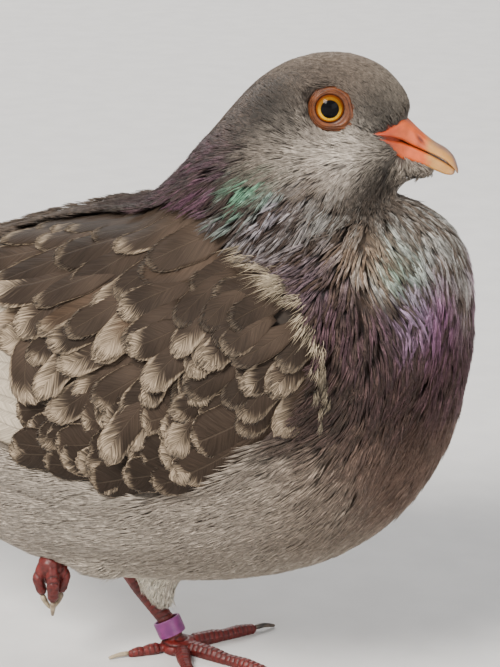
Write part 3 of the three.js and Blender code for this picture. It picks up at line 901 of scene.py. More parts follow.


DARK, TAN, CREAM = linear(48, 39, 32), linear(92, 70, 51), linear(160, 142, 120)  # the wings' vanes
GREEN, PURPLE, ROSE = (112, 186, 146), (126, 76, 112), (184, 116, 168)
LILAC, SILVER = (188, 160, 194), (224, 226, 220)
FACE = dict(length=4.2, width=1.9, strand=0.23, depth=0.6, lift=0.05, clump=0.05)
HEAD = dict(length=6.4, width=2.6, strand=0.25, depth=0.8, lift=0.08, clump=0.12)
HACKLE = dict(length=9.0, width=3.8, strand=0.32, depth=2.4, lift=0.5, clump=0.85)
BREAST = dict(length=9.5, width=4.6, strand=0.36, depth=2.6, lift=0.35, clump=0.6)
BELLY = dict(length=10.0, width=6.0, strand=0.42, depth=2.2, lift=0.2, clump=0.06)
ZONES = {
    "forehead": Zone((59, 0, 160), 7, (112, 104, 94), **FACE),
    "crown": Zone((44, 0, 173), 12, (114, 102, 91), **HEAD),
    "lores": Zone((58, 8, 157.5), 6.8, (14, 12, 10), **FACE),
    "brow": Zone((44, 11, 169), 6, (80, 70, 62), **FACE),
    "cheek": Zone((48, 15, 149.5), 6.5, (212, 200, 186), **HEAD),
    "cheek_front": Zone((57, 11, 149.5), 4.2, (164, 154, 142), **HEAD),
    "cheek_rear": Zone((38, 18, 150.5), 6, (190, 178, 164), **HEAD),
    "cheek_back": Zone((29.5, 21, 152), 4.5, (138, 126, 114), **HEAD),
    "ear": Zone((32, 18, 160), 8.3, (31, 27, 24), **HEAD),
    "ear_streak": Zone((36, 17, 155.5), 3.4, (36, 31, 27), **HEAD),
    "under_eye": Zone((43, 15, 154), 3.0, (84, 74, 66), **FACE),
    "chin": Zone((64, 2, 145), 4.5, (146, 136, 124), **HEAD),
    "jaw_front": Zone((58, 10.5, 145), 4.6, (46, 40, 34), **HEAD),
    "nape": Zone((20, 0, 160), 9, (96, 84, 76), **HEAD),
    "nape_low": Zone((8, 10, 148), 8, (78, 62, 62), PURPLE, 0.3, **HACKLE),
    "jaw": Zone((44, 19, 143), 5, (104, 92, 82), **HEAD),
    "throat": Zone((58, 8, 139), 6.5, (48, 40, 34), **HEAD),
    "neck_green": Zone((31.5, 27.5, 147), 6.5, (72, 63, 55), GREEN, 1.0, **HACKLE),
    "neck_purple": Zone((11, 27, 139), 6.5, (72, 56, 54), PURPLE, 0.5, **HACKLE),
    "neck_lilac": Zone((40, 29.5, 140.5), 6, (80, 66, 64), LILAC, 0.8, **HACKLE),
    "neck_glint": Zone((46, 24, 142), 5, (88, 77, 70), SILVER, 0.9, **HACKLE),
    "jaw_low": Zone((50, 20, 138), 6, (66, 56, 48), SILVER, 0.4, **HACKLE),
    "neck_side": Zone((44, 30, 134), 7, (70, 57, 49), SILVER, 0.25, **HACKLE),
    "neck_low": Zone((50, 34, 125), 8, (72, 57, 50), LILAC, 0.15, **HACKLE),
    "breast_pale": Zone((64, 24, 127), 6, (158, 132, 110), SILVER, 0.3, **HACKLE),
    "breast_green": Zone((69, 22, 124.5), 5.2, (112, 112, 96), GREEN, 0.95, **HACKLE),
    "breast_silver": Zone((72, 20, 131), 7, (106, 103, 96), SILVER, 1.0, **HACKLE),
    "breast_front": Zone((72, 0, 124), 12, (116, 102, 90), SILVER, 0.6, **HACKLE),
    "breast_lilac": Zone((74, 22, 116.5), 6.5, (88, 74, 72), LILAC, 1.0, **HACKLE),
    "breast_rose": Zone((80, 15, 113), 7, (88, 70, 70), ROSE, 0.8, **HACKLE),
    "breast_purple": Zone((80, 10, 98), 9, (80, 61, 56), PURPLE, 0.3, **BREAST),
    "breast_side": Zone((62, 36, 113), 8, (80, 63, 57), PURPLE, 0.25, **HACKLE),
    "breast_wing": Zone((57, 43, 92), 9, (64, 51, 43), PURPLE, 0.05, **BREAST),
    "breast_mid": Zone((74, 26, 88), 10, (66, 49, 43), PURPLE, 0.12, **BREAST),
    "breast_low": Zone((70, 24, 72), 12, (112, 90, 78), **BREAST),
    "belly_front": Zone((54, 34, 58), 12, (138, 124, 110), **BELLY),
    "belly_side": Zone((28, 44, 58), 14, (156, 144, 131), **BELLY),
    "belly": Zone((20, 10, 33), 22, (164, 152, 138), **BELLY),
    "flank": Zone((-12, 42, 55), 16, (166, 155, 142), **BELLY),
    "flank_rear": Zone((-46, 32, 56), 18, (172, 160, 147), **BELLY),
    "vent": Zone((-76, 6, 56), 16, (192, 182, 168), **BELLY),
    "under_tail": Zone((-112, 5, 80), 14, (172, 162, 150), **BELLY),
    "thigh": Zone((-4, 6, 32), 9, (240, 230, 210), length=8.5, width=3.4, strand=0.34, depth=2.0),
    "shin": Zone((-6, 3, 20), 9, (250, 242, 224), length=8.0, width=2.4, strand=0.3, depth=1.2),
    "mantle": Zone((-4, 0, 134), 15, (54, 45, 38), PURPLE, 0.1, **BREAST),
    "mantle_front": Zone((8, 10, 134), 8, (66, 53, 49), PURPLE, 0.3, **HACKLE),
    "back": Zone((-46, 0, 121), 22, (84, 72, 62), **BELLY),
    "rump": Zone((-92, 0, 107), 18, (196, 186, 172), **BELLY),
}


class Markings:
    """The plumage's zones, blended into one another."""

    SIZES = ("gloss", "length", "width", "strand", "depth", "lift", "clump")

    def __init__(self, zones: Sequence[Zone]) -> None:
        """Keeps the zones as arrays.

        Args:
            zones: the plumage's zones.
        """
        self.at = np.array([zone.at for zone in zones], float)
        self.reach = np.array([zone.reach for zone in zones], float)
        colours = np.array([[*linear(*zone.colour), *linear(*zone.shine)] for zone in zones])
        sizes = np.array([[getattr(zone, size) for size in self.SIZES] for zone in zones], float)
        self.table = np.concatenate([colours, sizes], axis=1)

    def at_points(self, points: Array) -> dict[str, Array]:
        """What the plumage is like at some places.

        Args:
            points: places on the bird, in millimetres.

        Returns:
            Arrays by name: colour, shine and the zones' sizes.
        """
        local = head_frame(points - [0.0, MIDLINE, 0.0])
        local[:, 1] = np.abs(local[:, 1])
        gap = np.linalg.norm(local[:, None, :] - self.at, axis=2) / self.reach
        weight = np.exp(-1.1 * gap**1.6) + 1e-9 / (gap**4 + 1e-3)
        mixed = weight @ self.table / weight.sum(1, keepdims=True)
        found = {size: mixed[:, 6 + k] for k, size in enumerate(self.SIZES)}
        found["colour"], found["shine"] = mixed[:, :3], mixed[:, 3:6]
        return found


@dataclass
class Surface:
    """The coat's outer surface: an even mesh with the lie of the feathers on each of its points."""

    voxel: float = 1.5
    swell: float = 0.22  # closes the thin cuts between the solids
    bill_base: tuple[float, float, float] = (64.0, 0.0, 149.0)
    chin: tuple[tuple[float, ...], ...] = (  # x, z, up, down, half width
        (52.0, 146.0, 4.0, 8.5, 7.8), (57.0, 146.0, 3.0, 8.2, 6.4), (61.0, 146.2, 2.0, 7.2, 5.2),
        (64.5, 146.2, 1.2, 5.6, 4.0), (67.5, 145.6, 0.8, 3.9, 3.0), (70.0, 144.8, 0.5, 2.5, 2.2),
        (72.2, 144.1, 0.3, 1.3, 1.3))
    points: Array = field(init=False)
    faces: Array = field(init=False)
    normals: Array = field(init=False)
    edges: Array = field(init=False)
    flow: Array = field(init=False)
    reach: Array = field(init=False)
    winged: Array = field(init=False)
    marks: dict[str, Array] = field(init=False)
    tree: KDTree = field(init=False)

    def take(self, points: Array, faces: Array) -> None:
        """Takes a mesh and finds its edges.

        Args:
            points: its points.
            faces: its faces, with four corners.
        """
        self.points, self.faces = points, faces
        pairs = np.concatenate([faces[:, [k, (k + 1) % 4]] for k in range(4)])
        self.edges = np.unique(np.sort(pairs, axis=1), axis=0)

    def build(self, marks: Markings) -> None:
        """Makes the surface and all that lies on it.

        Args:
            marks: the plumage's zones.
        """
        self.take(*remeshed(FLESH, self.voxel, self.swell, self._chin()))
        self.points = self.relaxed(self.points, 8)
        self.normals = self.normals_of(self.points)
        self.marks = marks.at_points(self.points)
        self.reach = self._distances()
        self.flow = self._lie()
        self.winged = self._on_wings()
        near = ramp(0.0, 0.4, self.spread(self.winged, 14))
        self.marks["length"] = self.marks["length"] * (1 - 0.4 * near * ramp(84, 104, self.points[:, 2]))
        self.tree = KDTree(len(self.points))
        for index, point in enumerate(self.points):
            self.tree.insert(point, index)
        self.tree.balance()
        LOG.info("coat surface: %d points", len(self.points))

    def _chin(self) -> Form:
        """The wedge of feathered skin that reaches forward under the bill.

        Returns:
            The form.
        """
        stations = smooth_line(np.array(self.chin), 24)
        turn = np.linspace(0, 2 * np.pi, 24, endpoint=False)
        x, z, up, down, side = (stations[:, k, None] for k in range(5))
        rise = np.where(np.sin(turn) > 0, up, down) * np.sin(turn)
        rings = np.stack([x + 0 * turn, side * np.cos(turn), z + rise], axis=-1)
        return tube(head_frame(rings[:, ::-1], back=True) + [0, MIDLINE, 0])

    def spread(self, values: Array, rounds: int) -> Array:
        """Evens out values over the mesh.

        Args:
            values: one row for each point.
            rounds: how often each point takes its neighbours' mean.

        Returns:
            The evened values.
        """
        first, second = self.edges.T
        count = np.bincount(self.edges.ravel(), minlength=len(self.points)).astype(float)
        flat = values.reshape(len(self.points), -1)
        for _ in range(rounds):
            total = np.stack([np.bincount(first, column[second], len(count))
                              + np.bincount(second, column[first], len(count)) for column in flat.T], axis=1)
            flat = 0.5 * flat + 0.5 * total / np.maximum(count, 1)[:, None]
        return flat.reshape(values.shape)

    def relaxed(self, points: Array, rounds: int) -> Array:
        """Smooths the points without drawing the form in.

        Args:
            points: the points to smooth.
            rounds: how often.

        Returns:
            The smoothed points.
        """
        for _ in range(rounds):
            evened = self.spread(points, 1)
            points = evened + 0.96 * (evened - self.spread(evened, 1))
        return points

    def normals_of(self, points: Array) -> Array:
        """The outward directions at the points.

        Args:
            points: the mesh's points.

        Returns:
            Directions of length one.
        """
        corners = points[self.faces]
        across = np.cross(corners[:, 2] - corners[:, 0], corners[:, 3] - corners[:, 1])
        total = np.zeros_like(points)
        for corner in range(4):
            np.add.at(total, self.faces[:, corner], across)
        return unit(total)

    def _distances(self) -> Array:
        """How far each point is from the bill's base along the surface.

        Returns:
            The distances.
        """
        start = head_frame(np.array([self.bill_base]), back=True)[0] + [0, MIDLINE, 0]
        gaps = np.linalg.norm(self.points[self.edges[:, 0]] - self.points[self.edges[:, 1]], axis=1)
        links: list[list[tuple[int, float]]] = [[] for _ in self.points]
        for (first, second), gap in zip(self.edges.tolist(), gaps.tolist()):
            links[first].append((second, gap))
            links[second].append((first, gap))
        reach = np.full(len(self.points), 1e9)
        seed = int(np.linalg.norm(self.points - start, axis=1).argmin())
        reach[seed] = 0
        queue = [(0.0, seed)]
        while queue:
            here, index = heapq.heappop(queue)
            if here > reach[index]:
                continue
            for other, gap in links[index]:
                if here + gap < reach[other]:
                    reach[other] = here + gap
                    heapq.heappush(queue, (here + gap, other))
        return self.spread(np.where(reach > 1e8, 400.0, reach), 14)

    def _lie(self) -> Array:
        """The way the feathers lie at each point.

        Returns:
            Directions along the surface.
        """
        first, second = self.edges.T
        run = self.points[second] - self.points[first]
        rise = (self.reach[second] - self.reach[first]) / np.maximum((run**2).sum(1), 1e-9)
        push = run * rise[:, None]
        flow = np.zeros_like(self.points)
        np.add.at(flow, first, push)
        np.add.at(flow, second, push)
        flow = unit(self.spread(flow, 10))
        x, z = self.points[:, 0], self.points[:, 2]
        neck = ramp(150, 138, z) * ramp(108, 120, z) * ramp(65, 56, x)
        belly = ramp(85, 60, z) * ramp(75, 40, x)
        flow += neck[:, None] * [-0.2, 0.0, -0.55] + belly[:, None] * [-0.9, 0.0, 0.05]
        flow += ramp(20, -10, x)[:, None] * [-1.2, 0.0, 0.0]
        breast, crop = ramp(110, 94, z) * ramp(30, 50, x), ramp(110, 118, z) * ramp(54, 64, x)
        flow += breast[:, None] * [-0.7, 0.0, 0.0] + crop[:, None] * [0.55, 0.0, -0.1]
        leg = ramp(36, 28, z) * ramp(26, 16, np.abs(x + 6))
        flow = flow * (1 - leg[:, None]) + leg[:, None] * [-0.25, 0.0, -1.0]
        flow -= self.normals * (flow * self.normals).sum(1, keepdims=True)
        return unit(self.spread(unit(flow), 6))

    def _on_wings(self) -> Array:
        """Which points lie under a folded wing's feathers.

        Returns:
            1 where they do, and 0 elsewhere.
        """
        x, out = self.points[:, 0], np.abs(self.points[:, 1] - MIDLINE)
        turn = np.degrees(np.arctan2(out, self.points[:, 2] - np.interp(x, *np.transpose(BODY_CORE))))
        upper, lower = wing_edges(x)
        inside = (turn > upper) & (turn < lower - 2) & (x > WING_EDGE[0][0]) & (x < WING_EDGE[-1][0])
        return inside.astype(float)

    def look_up(self, points: Array) -> tuple[Array, Array]:
        """The surface's nearest mesh points, and the places on it.

        Args:
            points: places near the surface.

        Returns:
            Indices of mesh points, and the places brought onto the surface.
        """
        index = np.array([self.tree.find(point)[1] for point in points])
        normal = self.normals[index]
        gap = ((points - self.points[index]) * normal).sum(1, keepdims=True)
        return index, points - normal * gap


def wing_edges(x: Array) -> tuple[Array, Array]:
    """The folded wing's upper and lower edges at places along the body, in degrees from the spine."""
    places, upper, lower = np.transpose(WING_EDGE)
    return np.interp(x, places, upper), np.interp(x, places, lower)


# ---- strands ----


@dataclass
class Strands:
    """Slim solid strands, each a three-sided spindle that is widest at its middle."""

    root: Array  # strands, 3
    middle: Array  # strands, 3
    tip: Array  # strands, 3
    side: Array  # strands, 3: the way its flat side runs
    up: Array  # strands, 3: the way its ridge stands
    width: Array  # strands
    colour: Array  # strands, 3, at the root
    tip_colour: Array  # strands, 3
    gloss: Array  # strands
    patch: Array  # strands, 2: the root's place on the unwrap

    PATCH = 0.003
    FACES = ((0, 1, 2), (0, 2, 3), (0, 3, 1), (4, 2, 1), (4, 3, 2), (4, 1, 3))
    CORNERS = ((0.5, 0.0), (0.0, 0.45), (0.5, 0.62), (1.0, 0.45), (0.5, 1.0))  # in a strand's patch

    def form(self) -> Form:
        """Makes the spindles.

        Returns:
            One form with its bake map and paints.
        """
        count = len(self.root)
        half = self.width[:, None] / 2
        left, right = self.middle - self.side * half, self.middle + self.side * half
        top = self.middle + self.up * half * 0.7
        points = np.stack([self.root, left, top, right, self.tip], axis=1)
        corners = np.array(self.CORNERS)
        faces = np.array(self.FACES)
        patch = self.patch[:, None] + (corners - 0.5) * self.PATCH
        share = np.array([0.0, 0.6, 0.7, 0.6, 1.0])[:, None]
        colour = self.colour[:, None] + (self.tip_colour - self.colour)[:, None] * share
        return Form(
            points.reshape(-1, 3), (faces[None] + 5 * np.arange(count)[:, None, None]).reshape(-1, 3),
            {"OFBake": patch[:, faces].reshape(-1, 2)},
            {"plumage": colour.reshape(-1, 3), "gloss": np.repeat(self.gloss, 5)})


@dataclass
class Coat:
    """The body's small feathers, each a group of strands that fan out from its root."""

    surface: Surface
    fill: float = 3.3  # strands laid side by side over a feather's width
    spacing: float = 0.5  # closest roots, as a share of a feather's width
    fringe_strands: int = 680
    fringe_locks: int = 46

    def seeds(self, allowed: Array, seed: int) -> Array:
        """Spreads feather roots evenly, closer where the feathers are small.

        Args:
            allowed: which of the surface's points may carry a root.
            seed: the random seed.

        Returns:
            Indices of mesh points.
        """
        order = np.random.default_rng(seed).permutation(np.flatnonzero(allowed))
        gaps = self.surface.marks["width"] * self.spacing
        taken = np.zeros(len(self.surface.points), bool)
        chosen = []
        for index in order:
            if taken[index]:
                continue
            chosen.append(index)
            for _, other, _ in self.surface.tree.find_range(self.surface.points[index], gaps[index]):
                taken[other] = True
        return np.array(chosen)

    def strands(self, allowed: Array, seed: int) -> Strands:
        """Grows the feathers of one part of the coat.

        Args:
            allowed: which of the surface's points may carry a root.
            seed: the random seed.

        Returns:
            The strands.
        """
        rng = np.random.default_rng(seed)
        roots = self.seeds(allowed, seed)
        marks = {name: values[roots] for name, values in self.surface.marks.items()}
        jitter = rng.normal(0, 0.12, (len(roots), 3)) * marks["width"][:, None]
        _, place = self.surface.look_up(self.surface.points[roots] + jitter)
        normal = self.surface.normals[roots]
        sway = rng.normal(0, 0.08 + 0.12 * marks["clump"])
        flow = self.surface.flow[roots]
        way = unit(flow + np.cross(normal, flow) * sway[:, None])
        length = marks["length"] * rng.uniform(0.85, 1.2, len(roots))
        stations, ups = [place], [normal]
        for step in range(2):
            index, spot = self.surface.look_up(stations[-1] + way * length[:, None] / 2)
            if step == 0:
                marks.update({name: self.surface.marks[name][index] for name in ("colour", "shine", "gloss")})
            ups.append(self.surface.normals[index])
            stations.append(spot)
            onward = self.surface.flow[index]
            way = unit(way * 0.7 + unit(onward + np.cross(ups[-1], onward) * sway[:, None]) * 0.5)
        leap = np.maximum(*(np.linalg.norm(stations[k + 1] - stations[k], axis=1) for k in range(2)))
        kept = (leap < 0.7 * length) & ((ups[0] * ups[2]).sum(1) > -0.2)  # none may bridge the throat's gap
        stations, ups = ([spots[kept] for spots in group] for group in (stations, ups))
        marks = {name: values[kept] for name, values in marks.items()}
        return self._fan(rng, stations, ups, marks, self._patches(roots[kept]))

    def _fan(self, rng: np.random.Generator, stations: list[Array], ups: list[Array],
             marks: dict[str, Array], patches: Array) -> Strands:
        """Lays the strands of each feather over its bed.

        Args:
            rng: the source of chance.
            stations: root, middle and end of each feather on the surface.
            ups: the outward direction at each.
            marks: what the plumage is like at each root.
            patches: each feather's place on the unwrap.

        Returns:
            The strands.
        """
        number = np.maximum((self.fill * marks["width"] / marks["strand"]).astype(int), 4)
        feathers = len(number)
        own = np.repeat(np.arange(feathers), number)
        count = len(own)
        mark = {name: values[own] for name, values in marks.items()}
        start, middle, end = (spot[own] for spot in stations)
        across = rng.uniform(-1, 1, count)
        locks = np.maximum(mark["width"] / 1.25, 1)
        lock = np.clip(np.round((across + 1) / 2 * locks - 0.5), 0, locks - 1)
        toward = (lock + 0.5) / locks * 2 - 1
        chance = rng.uniform(0, 1, (feathers, 8))[own, np.minimum(lock, 7).astype(int)]
        first = rng.uniform(0.0, 0.4, count)
        last = np.sqrt(1 - 0.5 * across**2) * rng.uniform(0.85, 1.08, count) + 0.12 * mark["clump"] * chance
        lift = np.clip(rng.normal(0.6, 0.5, feathers), 0, 2)[own] + mark["clump"] * (chance - 0.3)
        lift = mark["lift"] * lift
        bow = mark["clump"] * 0.35 * (np.abs(across - toward) < 0.35)
        loose = 1 - mark["clump"]
        shift = rng.uniform(-0.45, 0.45, count) * (0.25 + 0.75 * loose)
        across = across * (1 + 0.35 * loose)
        spots = []
        for share in (0.0, 0.55, 1.0):
            s = (first + (last - first) * share)[:, None]
            t = s + shift[:, None]
            spine = (1 - t) * (1 - 2 * t) * start + 4 * t * (1 - t) * middle + t * (2 * t - 1) * end
            normal = unit(ups[0][own] * (1 - t) + ups[2][own] * t)
            side = unit(np.cross(normal, unit(end - start)))
            gather = 0.85 * mark["clump"] * share**1.3
            spread = (across * (1 - gather) + toward * gather) * (0.5 + 0.5 * share)
            spread = spread + rng.normal(0, 0.05, count) * share
            rise = -mark["depth"] * np.clip(0.92 - s[:, 0], 0, 1) ** 1.3 * 0.85 + lift * s[:, 0] ** 2
            rise = rise + bow * share * (1 - share) - 0.03 * across**2 * mark["width"]
            rise = rise + rng.normal(0, 0.035, count) * mark["depth"] ** 0.5
            spots.append(spine + side * (spread * mark["width"] / 2)[:, None] + normal * rise[:, None])
        shade = 0.05 + 0.1 * marks["clump"]
        tone = rng.normal(1, shade)[own] * rng.normal(1, 0.08 + 0.12 * mark["clump"], count)
        tone = tone * (1 + 0.35 * mark["clump"] * (chance - 0.5))
        # painted sheen: glossy strands are mixed towards their zone's shine colour; the greens and purples
        # are partly the feathers' own iridescent colour, and the silver is a painted glint
        shimmer = mark["gloss"] * np.clip(2.2 * chance - 0.8 + rng.normal(0, 0.2, count), 0, 1)
        colour = mark["colour"] + (mark["shine"] - mark["colour"]) * (0.78 * shimmer)[:, None]
        colour = colour * np.clip(tone, 0.4, 1.8)[:, None]
        strand = mark["strand"] * rng.uniform(0.75, 1.3, count)
        # painted shade and painted highlight: each strand is darker at its root and lighter at its tip, both
        # more so in tight locks
        root_shade, tip_shade = 0.92 - 0.6 * mark["clump"], 1.04 + 0.2 * mark["clump"]
        dark, pale = (np.clip(colour * shade[:, None], 0, 1) for shade in (root_shade, tip_shade))
        offset = np.stack([across, first], axis=1) * 0.002
        return Strands(*spots, side, normal, strand, dark, pale, shimmer, patches[own] + offset)

    def _patches(self, roots: Array) -> Array:
        """Each root's place on an unwrap of the skin: round the body, and along it from the bill.

        Args:
            roots: indices of the surface's points.

        Returns:
            Two numbers for each, within 0 and 1.
        """
        points = self.surface.points[roots]
        height = np.interp(points[:, 0], [-110, 0, 45, 60], [90, 80, 90, 130])
        around = np.arctan2(points[:, 1] - MIDLINE, points[:, 2] - height) / np.pi
        pair = np.stack([around, self.surface.reach[roots]], axis=1)
        low, high = pair.min(0), pair.max(0)
        return 0.01 + 0.98 * (pair - low) / np.maximum(high - low, 1e-6)

    def fringe(self, line: Array, colour: Array, seed: int) -> Strands:
        """Long loose strands along a line on the bird, which lie back and down from it.

        Args:
            line: the line's places.
            colour: the strands' colour.
            seed: the random seed.

        Returns:
            The strands.
        """
        rng = np.random.default_rng(seed)
        count, locks = self.fringe_strands, self.fringe_locks
        seat = np.sort(np.clip(rng.beta(1.5, 2.2, locks), 0, 1))
        weight = rng.uniform(0.2, 1, locks)
        which = rng.choice(locks, count, p=weight / weight.sum())
        share = np.clip(seat[which] + rng.normal(0, 0.012, count), 0, 1)
        place = smooth_line(line, 200)[(share * 199).astype(int)] + rng.normal(0, 0.8, (locks, 3))[which]
        index, place = self.surface.look_up(place + rng.normal(0, 0.45, (count, 3)))
        normal = self.surface.normals[index]
        turn = np.interp(share, [0, 0.4, 1], [0.55, 1.0, 1.5])[:, None]
        way = np.array([-1.0, 0.0, 0.0]) * (1.4 - 0.5 * turn) + np.array([0.0, 0.0, -1.0]) * turn
        way = way + rng.normal(0, 0.45, locks)[which][:, None] * np.array([0.6, 0.0, 0.4])
        way = way + rng.normal(0, 0.12, (count, 3))
        way = unit(way - normal * (way * normal).sum(1, keepdims=True))
        fade = np.interp(share, [0, 0.15, 0.5, 1], [0.7, 1, 0.9, 0.5])
        length = (rng.uniform(4.0, 11.0, locks)[which] * rng.uniform(0.7, 1.1, count) * fade)[:, None]
        _, middle = self.surface.look_up(place + way * length * 0.5)
        end_index, end = self.surface.look_up(place + way * length + rng.normal(0, 0.3, (count, 3)))
        rise = rng.uniform(0.2, 1.1, count)[:, None]
        tone = rng.uniform(0.3, 1.1, locks)[which] * rng.uniform(0.6, 1.15, count)
        tone = (tone * np.interp(share, [0, 0.55, 0.8, 1], [1, 1, 0.6, 0.45]))[:, None]
        tips = end + self.surface.normals[end_index] * rise
        width, colour = rng.uniform(0.17, 0.3, count), colour * tone
        # painted shade: each strand's root takes 0.7 of its colour, darker than its tip
        return Strands(place - normal * 0.8, middle + normal * rise, tips, unit(np.cross(normal, way)),
                       normal, width, colour * 0.7, colour, np.zeros(count), self._patches(index))


# ---- the folded wing ----


@dataclass
class RoundMap:
    """The body's outer surface by place along it and angle from the spine, wings included."""

    surface: Surface
    x_range: tuple[float, float] = (-122.0, 80.0)
    x_step: float = 2.0
    turn_step: float = 3.0

    def __post_init__(self) -> None:
        """Measures the surface with rays that come in from outside."""
        tree = BVHTree.FromPolygons(self.surface.points.tolist(), self.surface.faces.tolist())
        self.xs = np.arange(*self.x_range, self.x_step)
        self.turns = np.arange(-180, 180, self.turn_step)
        radius = np.zeros((len(self.xs), len(self.turns)))
        for i, x in enumerate(self.xs):
            centre = self.centre(np.array([x]))[0]
            for k, turn in enumerate(np.radians(self.turns)):
                out = np.array([0.0, math.sin(turn), math.cos(turn)])
                hit = tree.ray_cast(Vector(centre + out * 130), Vector(-out))[0]
                radius[i, k] = np.linalg.norm(np.array(hit) - centre) if hit else 3.0
        for _ in range(2):
            radius = (radius * 2 + np.roll(radius, 1, 1) + np.roll(radius, -1, 1)) / 4
        self.radius = radius

    def centre(self, x: Array) -> Array:
        """The middle of the body at places along it."""
        height = np.interp(x, *np.transpose(BODY_CORE))
        return np.stack([x, np.full_like(x, MIDLINE), height], axis=-1)

    def reach(self, x: Array, turn: Array) -> Array:
        """How far the surface is from the middle.

        Args:
            x: places along the body.
            turn: angles from the spine, in degrees.

        Returns:
            The radii.
        """
        row = np.clip((x - self.xs[0]) / self.x_step, 0, len(self.xs) - 1.001)
        column = (turn + 180) / self.turn_step % len(self.turns)
        low_row, low_column = row.astype(int), column.astype(int)
        a, b = row - low_row, column - low_column
        next_column = (low_column + 1) % len(self.turns)
        near = self.radius[low_row, low_column] * (1 - b) + self.radius[low_row, next_column] * b
        far = self.radius[low_row + 1, low_column] * (1 - b) + self.radius[low_row + 1, next_column] * b
        return near * (1 - a) + far * a

    def spot(self, x: Array, turn: Array) -> Array:
        """The surface's points at places and angles."""
        out = np.stack([np.zeros_like(x), np.sin(np.radians(turn)), np.cos(np.radians(turn))], axis=-1)
        return self.centre(x) + out * self.reach(x, turn)[..., None]

    def spot_and_up(self, x: Array, turn: Array) -> tuple[Array, Array]:
        """The surface's points and outward directions.

        Args:
            x: places along the body.
            turn: angles from the spine, in degrees.

        Returns:
            Points and directions.
        """
        here = self.spot(x, turn)
        along = self.spot(x + 2.5, turn) - self.spot(x - 2.5, turn)
        around = self.spot(x, turn + 4) - self.spot(x, turn - 4)
        return here, unit(np.cross(along, around))


@dataclass
class Feathers:
    """Broad feathers laid over a surface, in its own flat coordinates."""

    x: Array  # root's place along the body
    turn: Array  # root's angle from the spine, growing to the bird's right or left
    lean: Array  # degrees below straight back
    length: Array
    width: Array
    base: Array  # how high the root lies over the surface
    slope: Array  # how fast the feather rises towards its tip
    bend: Array  # degrees by which it turns down along its length
    roll: Array  # how far one edge stands higher than the other, for each millimetre across
    own: Array  # three random numbers for each


@dataclass
class VaneShape:
    """The outline and mesh of one kind of vane."""

    kind: Vane
    columns: int = 9
    rows: int = 12
    thick: float = 0.28
    arch: float = 0.5  # how much lower the edges lie, for each 10 mm of width

    @property
    def tip(self) -> tuple[float, float]:
        """Where the tip's round starts, and how square it is."""
        return {Vane.COVERT: (0.7, 2.1), Vane.QUILL: (0.8, 2.1), Vane.TAIL: (0.9, 2.6)}[self.kind]

    def margin(self, out: Array) -> Array:
        """How far along the vane ends, for shares of its half width from the shaft."""
        start, power = self.tip
        return start + (1 - start) * np.clip(1 - np.abs(out) ** power, 0, 1) ** (1 / power)

    def outline(self, along: Array) -> Array:
        """The half width at places along the vane, as a share of its widest.

        Args:
            along: 0 at the root to 1 at the tip.

        Returns:
            The shares.
        """
        start, power = self.tip
        root = {Vane.COVERT: 0.45, Vane.QUILL: 0.5, Vane.TAIL: 0.45}[self.kind]
        rise = root + (1 - root) * ramp(0.0, 0.45 if self.kind is Vane.COVERT else 0.3, along)
        past = np.clip((along - start) / (1 - start), 0, 1)
        return rise * np.maximum(1 - past**power, 0.004) ** (1 / power)

    def grid(self) -> tuple[Array, Array]:
        """Places across and along the vane, closer together at its tip.

        Returns:
            Across from -1 to 1 and along from 0 to 1, as rows of points.
        """
        along = np.sin(np.linspace(0, np.pi / 2, self.rows)) ** (1.0 if self.kind is Vane.COVERT else 0.8)
        along = along * 0.99
        across = np.linspace(-1, 1, self.columns)
        across = np.sign(across) * np.abs(across) ** 0.9
        return np.meshgrid(across, along)

    def mesh(self, over: Array, up: Array, own: Array, cells: int) -> Form:
        """A closed shell through each vane's points.

        Args:
            over: vanes, rows, columns, 3: the upper surface's points.
            up: vanes, rows, columns, 3: the outward directions.
            own: three numbers for each vane.
            cells: how many cells a row of the bake map has.

        Returns:
            The form, with the maps "OFBake" and "vane".
        """
        count, rows, columns = over.shape[:3]
        across, along = self.grid()
        body = self.thick * (1 - across**2) * (1 - 0.6 * along)
        under = over - up * body[None, ..., None]
        points = np.concatenate([over.reshape(count, -1, 3), under.reshape(count, -1, 3)], axis=1)
        size = rows * columns
        top = grid_faces(rows, columns, closed=False)
        bottom = top[:, ::-1] + size
        rim = self._rim(rows, columns, size)
        faces = np.concatenate([top, bottom, rim])
        vane = np.stack([across / 2 + 0.5, along], axis=-1).reshape(-1, 2)
        vane = np.concatenate([vane, vane])
        cell = np.stack([np.arange(count) % cells, np.arange(count) // cells], axis=1) / cells
        half = np.array([0.44, 0.94]) / cells
        shift = np.where(np.arange(2 * size)[:, None] >= size, [0.5 / cells, 0.0], [0.0, 0.0])
        atlas = cell[:, None] + 0.02 / cells + vane * half + shift
        corner = faces.ravel()
        return Form(points.reshape(-1, 3),
                    (faces[None] + (np.arange(count) * 2 * size)[:, None, None]).reshape(-1, 4),
                    {"OFBake": atlas[:, corner].reshape(-1, 2),
                     "vane": np.tile(vane[corner], (count, 1))},
                    {"own": np.repeat(own, 2 * size, axis=0)})

    @staticmethod
    def _rim(rows: int, columns: int, size: int) -> Array:
        """The faces that join the upper surface's edge to the lower one's.

        Args:
            rows: rows of points.
            columns: points in a row.
            size: points in one surface.

        Returns:
            The faces.
        """
        index = np.arange(size).reshape(rows, columns)
        loop = np.concatenate([index[0, :-1], index[:-1, -1], index[-1, :0:-1], index[:0:-1, 0]])
        after = np.roll(loop, -1)
        return np.stack([loop, loop + size, after + size, after], axis=1)


